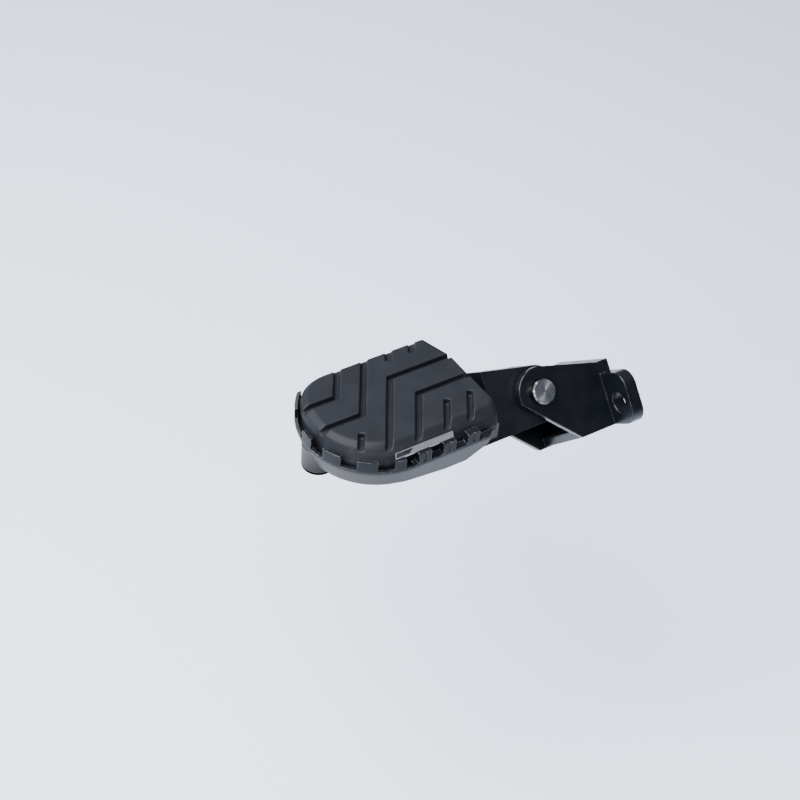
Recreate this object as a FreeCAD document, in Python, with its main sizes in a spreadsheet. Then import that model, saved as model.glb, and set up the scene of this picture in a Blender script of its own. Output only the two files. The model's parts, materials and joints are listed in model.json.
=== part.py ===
import FreeCAD, Part

import math
import os

import Sketcher
from FreeCAD import Placement, Rotation, Vector

os.makedirs("parts", exist_ok=True)
doc = FreeCAD.newDocument("Footpeg")
sheet = doc.addObject("Spreadsheet::Sheet", "Sizes")

# Driving dimensions, in millimetres and degrees: alias, value, what it measures
DIMENSIONS = [
    ("pivotReach", 32.0, "fixing face of the bracket to the fold axis"),
    ("foldTilt", 41.0, "lean of the fold axis, front end up"),
    ("tipReach", 67.0, "fold axis to the centre of the tip's half circle"),
    ("pegRise", 17.7, "fold axis up to the notch floors"),
    ("pegHalfWidth", 29.0, "half width of the peg, and radius of its tip"),
    ("deckEnd", 39.6, "centre of the tip's half circle to the deck's inboard end"),
    ("cornerLength", 7.0, "deck corner cut, along the peg"),
    ("cornerDepth", 9.0, "deck corner cut, across the peg"),
    ("rimWall", 3.0, "thickness of the crown's wall along the front side"),
    ("tipWall", 1.2, "thickness of the crown's wall round the tip and along the rear side"),
    ("rimLip", 1.0, "upright wall under the notch floors"),
    ("toothHeight", 4.6, "notch floor to tooth top"),
    ("skirtLean", 18.0, "lean of the wall under the lip, inwards"),
    ("skirtWall", 3.2, "thickness of the wall under the deck"),
    ("tipDepth", 8.8, "notch floor down to the wall's lower edge at the tip"),
    ("heelDepth", 12.6, "notch floor down to the wall's lower edge at the heel"),
    ("deckDrop", 3.0, "notch floor down to the deck"),
    ("deckThickness", 4.0, "thickness of the deck"),
    ("notchAngle", 12.0, "opening of a notch round the tip"),
    ("notchStep", 27.2, "angle from notch to notch round the tip"),
    ("notchLength", 5.2, "length of a notch on a straight side"),
    ("notchPitch", 10.4, "notch to notch on a straight side"),
    ("notchStart", 1.1, "centre of the first straight notch, outboard of the tip centre"),
    ("toothEnd", 27.3, "tip centre to where the last tooth ends"),
    ("toothGroove", 1.1, "width of the groove down the middle of a side tooth"),
    ("slotLength", 30.0, "length of a drain slot through the deck"),
    ("slotWidth", 3.0, "width of a drain slot"),
    ("slotPitch", 4.8, "drain slot to drain slot"),
    ("wideNotchAngle", 22.0, "opening of the wide notch at the rear of the tip"),
    ("wideNotchPlace", 15.0, "angle from the peg's middle line back to that notch"),
    ("plainRear", 20.3, "tip centre back to where the rear rim loses its teeth"),
    ("rearRimDrop", 2.2, "notch floors down to the top of that rim"),
    ("bossOffset", 23.0, "tip centre to the boss under the tip"),
    ("bossRadius", 6.3, "radius of that boss"),
    ("bossDepth", 12.0, "notch floor down to the boss's end"),
    ("plugRadius", 4.0, "radius of the plug's body in the boss"),
    ("plugDepth", 5.0, "length of that body"),
    ("plugHoleDepth", 6.5, "depth of the boss's blind hole"),
    ("plugFlange", 1.3, "thickness of the plug's flange"),
    ("landHalfWidth", 17.0, "half width of the thick land over the adapter"),
    ("landLength", 22.0, "length of that land"),
    ("landDepth", 10.0, "notch floor down to the land's face"),
    ("padTop", 7.06, "notch floor up to the tread"),
    ("padFootRise", 0.3, "notch floor up to the foot of the rubber's sloping shoulder"),
    ("padBandDrop", 1.56, "tread down to the foot of the band round its edge"),
    ("padShoulderDrop", 3.7, "tread down to the foot of the shoulder"),
    ("padGap", 0.7, "crown's wall to the rubber"),
    ("padEndInset", 0.3, "deck's inboard end to the rubber's"),
    ("treadGrooveWidth", 2.3, "width of a tread groove"),
    ("treadGrooveDepth", 2.5, "depth of a tread groove"),
    ("treadAngle", 32.0, "lean of the crossing grooves from square across"),
    ("plateThickness", 1.5, "thickness of the carrier plate in the pad"),
    ("plateMargin", 3.4, "rubber left round the carrier plate"),
    ("padScrewThread", 6.0, "thread of the pad screws"),
    ("padScrewSpread", 9.5, "inner pad screws to the centre line"),
    ("padScrewInset", 11.0, "tip centre to the inner pad screws"),
    ("padScrewTip", 10.0, "tip centre to the pad screw near the tip"),
    ("nutHeight", 4.0, "height of the carrier plate's weld nuts"),
    ("nutRadius", 5.8, "radius of those nuts over their corners"),
    ("barLength", 24.5, "length of the bright bar"),
    ("barWidth", 2.9, "width of the bright bar"),
    ("barThickness", 0.5, "thickness of the bright bar"),
    ("barStart", 7.6, "bar's outboard end, outboard of the tip centre"),
    ("barSlant", 1.4, "slant of the bar's ends"),
    ("pinRadius", 4.0, "radius of the pivot pin"),
    ("pinHeadRadius", 5.0, "radius of its head"),
    ("pinHeadHeight", 3.0, "height of its head"),
    ("pinChamfer", 0.5, "chamfer of its ends"),
    ("pinWasherRadius", 7.5, "outer radius of the washer on it"),
    ("earHalfGap", 13.6, "half the gap between the ears"),
    ("earThickness", 3.4, "thickness of an ear"),
    ("earRadius", 9.6, "rounding of an ear about the pin"),
    ("armFront", 12.6, "pin's middle to the adapter's front face"),
    ("armBack", 3.2, "pin's middle to the adapter's back face"),
    ("armDrop", 12.3, "pin axis down to the adapter's lower edge"),
    ("armRise", 10.3, "pin axis up to its upper edge"),
    ("armTaper", 0.215, "rise of that edge for each millimetre outboard"),
    ("armStep", 7.2, "deck's end back to the arm's upright outboard end"),
    ("bushRadius", 6.0, "outer radius of the bushes"),
    ("bushFlangeRadius", 7.6, "radius of their flanges"),
    ("bushFlange", 0.8, "thickness of their flanges"),
    ("runningGap", 0.06, "radial clearance of the pin in its bushes"),
    ("flangeDepth", 19.0, "notch floor down to the adapter's underside"),
    ("flangeHalfWidth", 16.6, "half width of the adapter's bolted flange"),
    ("boltThread", 8.0, "thread of the adapter bolts"),
    ("boltSpread", 9.6, "adapter bolts to the centre line"),
    ("boltInset", 28.5, "tip centre to the adapter bolts"),
    ("basePlate", 5.0, "thickness of the bracket's base plate"),
    ("baseHalfLength", 32.0, "half length of the base plate"),
    ("baseHoleEdge", 7.5, "fixing holes to the ends of the base plate"),
    ("baseHoleRadius", 4.25, "radius of the fixing holes"),
    ("seatGap", 0.2, "gap between pieces of the two bodies that meet at rest"),
    ("springWire", 2.0, "wire of the return spring"),
    ("springSides", 6.0, "flats that the spring's wire is drawn with"),
    ("springTurns", 3.0, "turns of the return spring"),
    ("springPitch", 2.3, "coil to coil of the return spring"),
    ("earLean", 46.0, "lean of the ears' lower edge"),
    ("earBottom", 22.6, "fold axis down to the front ear's lower end"),
    ("rearEarBottom", 27.0, "fold axis down to the rear ear's lower end"),
    ("frontEarReach", 8.2, "fold axis to the front ear's leaning edge"),
    ("rearEarReach", 13.2, "fold axis to the rear ear's leaning edge"),
    ("earSlope", 15.0, "fall of the ears' upper edge, inboard"),
    ("wingTop", 2.0, "fold axis down to the upper edge of the base plate's wings"),
    ("baseHoleDrop", 14.0, "fold axis down to the fixing holes"),
    ("swellStart", 6.0, "where the lower edge starts to fall, outboard of the tip centre"),
    ("swellEnd", 16.0, "where it is lowest, inboard of the tip centre"),
    ("heelEnd", 25.3, "where it turns up to the deck's end"),
    ("slotStart", 1.8, "tip centre to the first drain slot, outboard"),
    ("padCrown", 0.8, "rounding of the tread's edge"),
    ("padRearCut", 5.0, "cut of the rubber's rear inboard corner, along the peg"),
    ("padRearDepth", 12.3, "the same cut, across the peg"),
    ("padEndLean", 0.8, "lean of the rubber's inboard end towards that corner"),
    ("padFrontCut", 2.0, "cut of its front inboard corner"),
    ("screwReach", 4.6, "deck up to the tips of the pad screws"),
    ("boltCounterbore", 5.2, "depth of the adapter bolts' counterbores"),
    ("barInset", 1.7, "crown's outer face to the bright bar"),
    ("barBorder", 0.5, "bright border round the bar's dark field"),
    ("barField", 6.0, "length of that field"),
    ("flangeInset", 2.0, "end of the land past the end of the adapter"),
    ("flangeRoot", 6.0, "adapter's flange past the deck's end, inboard"),
    ("springHook", 4.0, "depth of the spring's hook in the adapter"),
    ("springLegGap", 7.4, "spring's hook to the adapter's flange"),
    ("springBend", 1.6, "bend between the spring's leg and its hook"),
    ("springRest", 14.8, "length of the leg on the stop web"),
    ("clipThickness", 1.0, "thickness of the retaining clip"),
    ("clipSeat", 3.2, "radius of the pin in the clip's groove"),
    ("clipRadius", 6.8, "outer radius of the clip"),
    ("pinTail", 1.6, "pin past the clip"),
    ("baseCorner", 6.0, "rounding of the base plate's corners"),
    ("stopTop", 2.0, "fold axis down to the stop web's upper edge"),
    ("stopBottom", 14.0, "fold axis down to its lower edge"),
    ("webThickness", 3.4, "thickness of the webs between the ears"),
    ("heelReach", 13.0, "fold axis to the adapter's stop face"),
    ("padScrewHead", 3.3, "height of a pad screw's head"),
    ("padScrewHeadRadius", 5.4, "radius of a pad screw's head over its corners"),
    ("boltHead", 5.0, "height of an adapter bolt's head"),
    ("boltHeadRadius", 6.5, "radius of an adapter bolt's head"),
    ("washer", 1.2, "thickness of the washers"),
    ("screwGap", 0.3, "radial clearance of the screws in their holes"),
    ("padWasherRim", 1.0, "pad screws' washers past the heads, all round"),
    ("slip", 0.02, "radial clearance of pieces that stay put"),
]
sizes = {}
for row, (alias, number, meaning) in enumerate(DIMENSIONS, start=1):
    sheet.set("A%d" % row, meaning)
    sheet.set("B%d" % row, str(number))
    sheet.setAlias("B%d" % row, alias)
    sizes[alias] = number
doc.recompute()


class Size:
    """A length that knows both its number and the sheet formula behind it."""

    def __init__(self, number, text):
        self.number, self.text = number, text

    def __add__(self, other):
        other = sized(other)
        return Size(self.number + other.number, "(%s + %s)" % (self.text, other.text))

    def __sub__(self, other):
        other = sized(other)
        return Size(self.number - other.number, "(%s - %s)" % (self.text, other.text))

    def __mul__(self, other):
        other = sized(other)
        return Size(self.number * other.number, "(%s * %s)" % (self.text, other.text))

    def __truediv__(self, other):
        other = sized(other)
        return Size(self.number / other.number, "(%s / %s)" % (self.text, other.text))

    def __neg__(self):
        return Size(-self.number, "(0 - %s)" % self.text)

    __radd__ = __add__
    __rmul__ = __mul__

    def __rsub__(self, other):
        return sized(other) - self


def sized(value):
    """The value as a Size, whether it is one already or a plain number."""
    return value if isinstance(value, Size) else Size(float(value), repr(float(value)))


def cell(alias):
    """The driving dimension of that name."""
    return Size(sizes[alias], "Sizes." + alias)


def turned(function, angle):
    """Sine, cosine or tangent of an angle in degrees."""
    numbers = {"sin": math.sin, "cos": math.cos, "tan": math.tan}
    angle = sized(angle)
    return Size(numbers[function](math.radians(angle.number)), "%s(%s)" % (function, angle.text))


def bind(item, path, value):
    """Ties one property of an object to its formula."""
    item.setExpression(path, sized(value).text)


def place(item, frame, base=(0, 0, 0), axis=(0, 0, 1), angle=0.0):
    """Puts a finished piece where a frame and an offset in it say."""
    local = Placement(Vector(*[sized(value).number for value in base]), Rotation(Vector(*axis), angle))
    item.Placement = frame.multiply(local)


# The peg's frame stands on the notch floors at the centre of the tip's half circle
PEG = Placement(Vector(sizes["pivotReach"] + sizes["tipReach"], 0, sizes["pegRise"]), Rotation())
# The hinge's frame sits on the fold axis, which is its Y axis, front end up
HINGE = Placement(Vector(sizes["pivotReach"], 0, 0), Rotation(Vector(1, 0, 0), sizes["foldTilt"]))


def new_body(label, frame):
    """An empty body, placed in its frame."""
    body = doc.addObject("PartDesign::Body", label)
    body.Label = label
    body.Placement = frame
    return body


def new_sketch(owner, name, plane, offset=0.0):
    """A sketch on one of the body's own planes, moved along its normal; a loose one without a body."""
    if owner.isDerivedFrom("PartDesign::Body"):
        sketch = owner.newObject("Sketcher::SketchObject", name)
        origin = [item for item in owner.Origin.OriginFeatures if item.Role == plane][0]
        sketch.AttachmentSupport = [(origin, "")]
        sketch.MapMode = "FlatFace"
    if sized(offset).number:
        bind(sketch, "AttachmentOffset.Base.z", offset)
        sketch.AttachmentOffset = Placement(Vector(0, 0, sized(offset).number), Rotation())
    return sketch


def tie(sketch, kind, geometry, point, value):
    """Fixes one coordinate of a sketch point to its formula."""
    value = sized(value)
    if abs(value.number) < 1e-9 and value.text in ("0.0", "-0.0"):
        line = -2 if kind == "DistanceX" else -1
        sketch.addConstraint(Sketcher.Constraint("PointOnObject", geometry, point, line))
        return
    index = sketch.addConstraint(Sketcher.Constraint(kind, -1, 1, geometry, point, value.number))
    bind(sketch, "Constraints[%d]" % index, value)


def polygon(sketch, points):
    """A closed outline through points; a third value is the radius of the arc that leads there."""
    count = len(points)
    ends = [Vector(sized(p[0]).number, sized(p[1]).number, 0) for p in points]
    first = sketch.GeometryCount
    for index in range(count):
        start, end = ends[index - 1], ends[index]
        if len(points[index]) == 2:
            sketch.addGeometry(Part.LineSegment(start, end), False)
        else:
            radius = sized(points[index][2]).number
            sketch.addGeometry(arc_between(start, end, radius), False)
    for index in range(count):
        here, after = first + index, first + (index + 1) % count
        here_end = 2 if len(points[index]) == 2 or sized(points[index][2]).number > 0 else 1
        following = points[(index + 1) % count]
        after_start = 1 if len(following) == 2 or sized(following[2]).number > 0 else 2
        sketch.addConstraint(Sketcher.Constraint("Coincident", here, here_end, after, after_start))
        tie(sketch, "DistanceX", here, here_end, points[index][0])
        tie(sketch, "DistanceY", here, here_end, points[index][1])
        if len(points[index]) == 3:
            radius = sized(points[index][2])
            radius = radius if radius.number > 0 else -radius
            item = sketch.addConstraint(Sketcher.Constraint("Radius", here, radius.number))
            bind(sketch, "Constraints[%d]" % item, radius)


def arc_between(start, end, radius):
    """The short arc from start to end, to the left round its centre if the radius is positive."""
    middle, along = (start + end) * 0.5, end - start
    side = Vector(-along.y, along.x, 0).normalize()
    height = math.sqrt(max(radius * radius - (along.Length / 2) ** 2, 0.0))
    centre = middle + side * (height if radius > 0 else -height)
    angles = [math.atan2(p.y - centre.y, p.x - centre.x) for p in (start, end)]
    if radius < 0:
        angles.reverse()
    circle = Part.Circle(centre, Vector(0, 0, 1), abs(radius))
    return Part.ArcOfCircle(circle, angles[0], angles[1])


def circle(sketch, x, y, radius):
    """A full circle with its centre and radius tied to the sheet."""
    x, y, radius = sized(x), sized(y), sized(radius)
    shape = Part.Circle(Vector(x.number, y.number, 0), Vector(0, 0, 1), radius.number)
    index = sketch.addGeometry(shape, False)
    tie(sketch, "DistanceX", index, 3, x)
    tie(sketch, "DistanceY", index, 3, y)
    item = sketch.addConstraint(Sketcher.Constraint("Radius", index, radius.number))
    bind(sketch, "Constraints[%d]" % item, radius)


def pad(body, sketch, length, name, reverse=False, middle=False):
    """Adds the sketch's outline, drawn out to a length."""
    item = body.newObject("PartDesign::Pad", name)
    item.Profile = sketch
    item.Reversed = reverse
    if middle:
        item.SideType = "Symmetric"
    item.Length = sized(length).number
    bind(item, "Length", length)
    body.Tip = item
    return item


def pocket(body, sketch, length, name, reverse=False, middle=False):
    """Cuts the sketch's outline away, down to a length; the cut has to take something."""
    before = body.Shape.Volume if body.Tip else 0.0
    item = body.newObject("PartDesign::Pocket", name)
    item.Profile = sketch
    item.Reversed = reverse
    if middle:
        item.SideType = "Symmetric"
    item.Length = sized(length).number
    bind(item, "Length", length)
    body.Tip = item
    doc.recompute()
    if before and body.Shape.Volume >= before - 1e-6:
        raise RuntimeError("%s cuts nothing" % name)
    return item


def revolve(body, sketch, axis, name):
    """Turns the sketch's outline once round one of the body's axes."""
    item = body.newObject("PartDesign::Revolution", name)
    item.Profile = sketch
    item.ReferenceAxis = (origin_item(body, axis), [""])
    item.Angle = 360.0
    body.Tip = item
    return item


def origin_item(body, role):
    """One of the body's own axes or planes."""
    return [item for item in body.Origin.OriginFeatures if item.Role == role][0]


def repeat(body, feature, role, count, spacing, name, turning=False, reverse=False):
    """Repeats a feature along or round one of the body's axes."""
    kind = "PartDesign::PolarPattern" if turning else "PartDesign::LinearPattern"
    item = body.newObject(kind, name)
    item.Originals = [feature]
    setattr(item, "Axis" if turning else "Direction", (origin_item(body, role), [""]))
    item.Mode = "Spacing"
    item.Reversed = reverse
    item.Offset = sized(spacing).number
    bind(item, "Offset", spacing)
    item.Occurrences = count
    body.Tip = item
    return item


def loft(body, sketches, name):
    """A ruled solid from sketch to sketch."""
    item = body.newObject("PartDesign::AdditiveLoft", name)
    item.Profile = sketches[0]
    item.Sections = sketches[1:]
    item.Ruled = True
    body.Tip = item
    return item


def ring(label, frame, inner, outer, start, length, plane="XY_Plane"):
    """A flat ring or sleeve on one of the frame's axes."""
    body = new_body(label, frame)
    sketch = new_sketch(body, label + "_outline", plane, start)
    circle(sketch, 0, 0, outer)
    circle(sketch, 0, 0, inner)
    pad(body, sketch, length, label + "_pad")
    return body


def deck_plan(half_width, end, corner_length, corner_depth):
    """Plan of the peg at one height: round tip, straight sides, cut inboard corners."""
    return [
        (-end, corner_depth - half_width),
        (corner_length - end, -half_width),
        (0, -half_width),
        (half_width, 0, half_width),
        (0, half_width, half_width),
        (corner_length - end, half_width),
        (-end, half_width - corner_depth),
    ]


def peg_body():
    """The cast peg: deck, crown of teeth, lower wall, boss and bolting land."""
    body = new_body("peg_body", PEG)
    half, end = cell("pegHalfWidth"), cell("deckEnd")
    corner = (cell("cornerLength"), cell("cornerDepth"))
    lip, tooth, deck = cell("rimLip"), cell("toothHeight"), cell("deckDrop")
    under = deck + cell("deckThickness")
    heel = cell("heelDepth")
    lean_in = (heel - lip) * turned("tan", cell("skirtLean"))

    crown = new_sketch(body, "crown_plan", "XY_Plane", -lip)
    polygon(crown, deck_plan(half, end, *corner))
    pad(body, crown, tooth + lip, "crown")
    wall_top = new_sketch(body, "wall_top_plan", "XY_Plane", -lip)
    polygon(wall_top, deck_plan(half, end, *corner))
    wall_foot = new_sketch(body, "wall_foot_plan", "XY_Plane", -heel)
    polygon(wall_foot, deck_plan(half - lean_in, end, *corner))
    loft(body, [wall_top, wall_foot], "leaning_wall")
    doc.recompute()

    through = 3 * half
    lower_edge = new_sketch(body, "lower_edge", "XZ_Plane")
    tip_depth, swell_start, swell_end = cell("tipDepth"), cell("swellStart"), cell("swellEnd")
    slant = heel - lip
    polygon(lower_edge, [
        (half * 2, -tip_depth), (swell_start, -tip_depth), (-swell_end, -heel), (-cell("heelEnd"), -heel),
        (-cell("heelEnd") - slant, -lip), (-end * 2, -lip), (-end * 2, -heel * 2), (half * 2, -heel * 2)])
    pocket(body, lower_edge, through, "lower_edge_cut", middle=True)

    inside, round_inside = half - cell("rimWall"), half - cell("tipWall")
    tray = new_sketch(body, "tray_plan", "XY_Plane", tooth)
    polygon(tray, [
        (-end * 2, -round_inside), (0, -round_inside), (round_inside, 0, round_inside),
        (0, round_inside, round_inside), (0, inside), (-end * 2, inside)])
    pocket(body, tray, tooth + deck, "tray")
    hollow_half = half - lean_in - cell("skirtWall")
    hollow = new_sketch(body, "hollow_plan", "XY_Plane", -heel)
    polygon(hollow, [
        (-end * 2, -hollow_half), (0, -hollow_half), (hollow_half, 0, hollow_half),
        (0, hollow_half, hollow_half), (-end * 2, hollow_half)])
    pocket(body, hollow, heel - under, "hollow", reverse=True)
    floor_plan = new_sketch(body, "deck_plan", "XY_Plane", -under)
    polygon(floor_plan, deck_plan(inside, end, *corner))
    pad(body, floor_plan, cell("deckThickness"), "deck")

    land = new_sketch(body, "land_plan", "XY_Plane", -cell("landDepth"))
    land_half, land_start = cell("landHalfWidth"), cell("landLength") - end
    polygon(land, [(-end, -land_half), (land_start, -land_half), (land_start, land_half), (-end, land_half)])
    pad(body, land, cell("landDepth") - under, "land")
    boss = new_sketch(body, "boss_plan", "XY_Plane", -cell("bossDepth"))
    circle(boss, cell("bossOffset"), 0, cell("bossRadius"))
    pad(body, boss, cell("bossDepth") - deck, "boss")
    doc.recompute()

    opening = turned("tan", cell("notchAngle") / 2) * half
    tip_notch = new_sketch(body, "tip_notch_plan", "XY_Plane")
    angle = cell("notchStep") / 2
    polygon(tip_notch, slanted_box(angle, half - 2 * cell("rimWall"), half * 1.2, opening))
    cut = pocket(body, tip_notch, 2 * tooth, "tip_notch", reverse=True)
    repeat(body, cut, "Z_Axis", 3, cell("notchStep"), "tip_notches", turning=True)
    wide_notch = new_sketch(body, "wide_notch_plan", "XY_Plane")
    opening = turned("tan", cell("wideNotchAngle") / 2) * half
    angle = -cell("wideNotchPlace")
    polygon(wide_notch, slanted_box(angle, half - 2 * cell("rimWall"), half * 1.2, opening))
    pocket(body, wide_notch, 2 * tooth, "wide_notch", reverse=True)
    plain_rear = new_sketch(body, "plain_rear_plan", "XY_Plane", -cell("rearRimDrop"))
    polygon(plain_rear, [
        (-end * 2, -half * 1.2), (half * 1.2, -half * 1.2),
        (half * 1.2, -cell("plainRear")), (-end * 2, -cell("plainRear"))])
    pocket(body, plain_rear, 2 * tooth, "plain_rear", reverse=True)

    side_notch = new_sketch(body, "side_notch_plan", "XY_Plane")
    first, width = cell("notchStart"), cell("notchLength")
    polygon(side_notch, [
        (first - width / 2, half / 2), (first + width / 2, half / 2),
        (first + width / 2, half * 1.2), (first - width / 2, half * 1.2)])
    cut = pocket(body, side_notch, 2 * tooth, "side_notch", reverse=True)
    repeat(body, cut, "X_Axis", 3, cell("notchPitch"), "side_notches", reverse=True)
    plain_end = new_sketch(body, "plain_end_plan", "XY_Plane")
    polygon(plain_end, [
        (-end * 2, half / 2), (-cell("toothEnd"), half / 2),
        (-cell("toothEnd"), half * 1.2), (-end * 2, half * 1.2)])
    pocket(body, plain_end, 2 * tooth, "plain_end", reverse=True)

    groove = new_sketch(body, "tooth_groove_plan", "XY_Plane")
    middle, mouth = first - cell("notchPitch") / 2, cell("toothGroove") / 2
    polygon(groove, [
        (middle - mouth, half), (middle, half - mouth), (middle + mouth, half),
        (middle + mouth, half + mouth), (middle - mouth, half + mouth)])
    cut = pocket(body, groove, 2 * tooth, "tooth_groove", reverse=True)
    repeat(body, cut, "X_Axis", 3, cell("notchPitch"), "tooth_grooves", reverse=True)

    slot = new_sketch(body, "slot_plan", "XY_Plane")
    slot_half, long_half = cell("slotWidth") / 2, cell("slotLength") / 2
    far = cell("slotStart")
    polygon(slot, [
        (far - slot_half, -long_half), (far, -long_half - slot_half, slot_half),
        (far + slot_half, -long_half, slot_half), (far + slot_half, long_half),
        (far, long_half + slot_half, slot_half), (far - slot_half, long_half, slot_half)])
    cut = pocket(body, slot, under * 2, "drain_slot")
    repeat(body, cut, "X_Axis", 2, cell("slotPitch"), "drain_slots", reverse=True)

    holes = new_sketch(body, "hole_plan", "XY_Plane")
    clearance = cell("padScrewThread") / 2 + cell("screwGap")
    for x, y in pad_screw_places():
        circle(holes, x, y, clearance)
    for side in (1, -1):
        circle(holes, -cell("boltInset"), side * cell("boltSpread"), cell("boltThread") / 2)
    pocket(body, holes, 2 * heel, "screw_holes")
    blind = new_sketch(body, "plug_hole_plan", "XY_Plane", -cell("bossDepth"))
    circle(blind, cell("bossOffset"), 0, cell("plugRadius"))
    pocket(body, blind, cell("plugHoleDepth"), "plug_hole", reverse=True)
    return body


def slanted_box(angle, inner, outer, half_width):
    """Corners of a box that lies along a ray from the tip's centre."""
    along = (turned("cos", angle), turned("sin", angle))
    corners = []
    for distance, side in ((inner, -1), (outer, -1), (outer, 1), (inner, 1)):
        x = along[0] * distance - along[1] * half_width * side
        y = along[1] * distance + along[0] * half_width * side
        corners.append((x, y))
    return corners


def loose_sketch(name, offset):
    """A sketch lying flat at a height of its own, for lofts between heights."""
    sketch = doc.addObject("Sketcher::SketchObject", name)
    sketch.Placement = Placement(Vector(0, 0, sized(offset).number), Rotation())
    bind(sketch, "Placement.Base.z", offset)
    return sketch


def tread_plan(rear, front, reach, rear_corner, front_corner, end):
    """Plan of the rubber at one height: rear and front sides, the tip's two round corners, and the end."""
    rear_cut, front_cut = cell("padRearCut"), cell("padFrontCut")
    return [
        (cell("padEndLean") - end, cell("padRearDepth") - rear), (rear_cut - end, -rear),
        (reach - rear_corner, -rear), (reach, rear_corner - rear, rear_corner),
        (reach, front - front_corner), (reach - front_corner, front, front_corner),
        (front_cut - end, front), (-end, front - front_cut)]


# Insets of the rubber's plan from the peg's edge: rear side, front side, tip, rear corner, front corner
TREAD_PLANS = {
    "tread_edge": (8.1, 9.2, 7.2, 15.8, 8.8),
    "tread_line": (7.4, 8.4, 6.4, 15.0, 8.0),
    "band_line": (6.7, 7.2, 4.8, 14.3, 6.6),
    "shoulder_line": (5.2, 5.0, 4.1, 12.0, 4.8),
}
# Radii of the tip's rear and front corners at the rubber's foot, for each millimetre of its half width
FOOT_CORNERS = (0.87, 0.91)


def pad_foot():
    """Half width of the rubber at the deck."""
    return cell("pegHalfWidth") - cell("rimWall") - cell("padGap")


def pad_end():
    """Tip centre to the rubber's inboard end."""
    return cell("deckEnd") - cell("padEndInset")


def strip(points, width):
    """Outline of a groove that follows a few points, mitred at its corner."""
    sides = ([], [])
    for index, point in enumerate(points):
        before = point - points[index - 1] if index else points[1] - point
        after = points[index + 1] - point if index + 1 < len(points) else before
        before, after = Vector(before).normalize(), Vector(after).normalize()
        bisector = (before + after).normalize()
        normal = Vector(-bisector.y, bisector.x, 0)
        reach = width / 2 / max(bisector.dot(before), 0.2)
        sides[0].append(point + normal * reach)
        sides[1].insert(0, point - normal * reach)
    corners = sides[0] + sides[1]
    return Part.Face(Part.makePolygon(corners + corners[:1]))


def tread_grooves():
    """The grooves of the tread: two bent pairs nested in each other, and short ones at the edges."""
    angle = math.radians(sizes["treadAngle"])
    edge = far_out = sizes["pegHalfWidth"]
    far_in = sizes["deckEnd"] + sizes["padTop"]

    def along(start, reach):
        """The point a way along a crossing groove from its start."""
        return Vector(start[0] + reach * math.sin(angle), start[1] + reach * math.cos(angle), 0)

    routes = []
    for corner, reach, run_end in TREAD_BENDS:
        routes.append([Vector(far_out if run_end > 0 else -far_in, corner[1], 0),
                       Vector(corner[0], corner[1], 0), along(corner, reach * edge)])
    for start, reach in TREAD_STUBS:
        routes.append([Vector(start[0], start[1], 0), along(start, reach)])
    solids = []
    for route in routes:
        face = strip(route, sizes["treadGrooveWidth"])
        face.translate(Vector(0, 0, sizes["padTop"] - sizes["treadGrooveDepth"]))
        solids.append(face.extrude(Vector(0, 0, sizes["padTop"])))
    return solids[0].multiFuse(solids[1:])


# Bends of the tread's long grooves: corner, way the crossing leg runs, way the long leg runs
TREAD_BENDS = [
    ((10.9, -9.0), -1, 1),
    ((7.1, 3.3), -2, 1),
    ((-12.0, -8.8), 2, -1),
    ((-16.9, 3.3), 1.4, -1),
]
# Short grooves at the tread's edges: closed end, length
TREAD_STUBS = [
    ((-24.3, 11.0), 30.0),
    ((-34.3, 11.2), 30.0),
    ((12.4, 11.6), 30.0),
    ((-16.2, -16.9), -30.0),
    ((-26.3, -16.8), -30.0),
]


def rubber_pad():
    """The tread rubber: banded tread edge, sloping shoulder, grooves and the seat of its plate."""
    top = cell("padTop")
    heights = {
        "tread_edge": (top, cell("padCrown")), "tread_line": (top - cell("padCrown") / 2, 0),
        "band_line": (top - cell("padBandDrop"), 0),
        "shoulder_line": (top - cell("padShoulderDrop"), 0)}
    sketches = []
    for name, (height, shortening) in heights.items():
        sketch = loose_sketch("rubber_" + name, height)
        plan = [cell("pegHalfWidth") - inset for inset in TREAD_PLANS[name]]
        polygon(sketch, tread_plan(*plan, pad_end() - shortening))
        sketches.append(sketch)
    for name, height in (("foot_line", cell("padFootRise")), ("base_line", -cell("deckDrop"))):
        sketch = loose_sketch("rubber_" + name, height)
        polygon(sketch, foot_plan(pad_foot(), pad_end()))
        sketches.append(sketch)
    blank = doc.addObject("Part::Loft", "rubber_blank")
    blank.Sections = sketches
    blank.Solid = True
    blank.Ruled = True
    grooves = doc.addObject("Part::Feature", "tread_grooves")
    grooves.Shape = tread_grooves()
    ribs = doc.addObject("Part::Cut", "rubber_ribs")
    ribs.Base, ribs.Tool = blank, grooves
    seat = plate_solid("plate_seat", blind=True)
    doc.recompute()
    rubber = doc.addObject("Part::Cut", "rubber_pad")
    rubber.Base, rubber.Tool = ribs, seat
    rubber.Label = "rubber_pad"
    rubber.Placement = PEG
    return rubber


def foot_plan(half, end):
    """Plan of the rubber below its shoulder, and of its plate."""
    return tread_plan(half, half, half, half * FOOT_CORNERS[0], half * FOOT_CORNERS[1], end)


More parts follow.
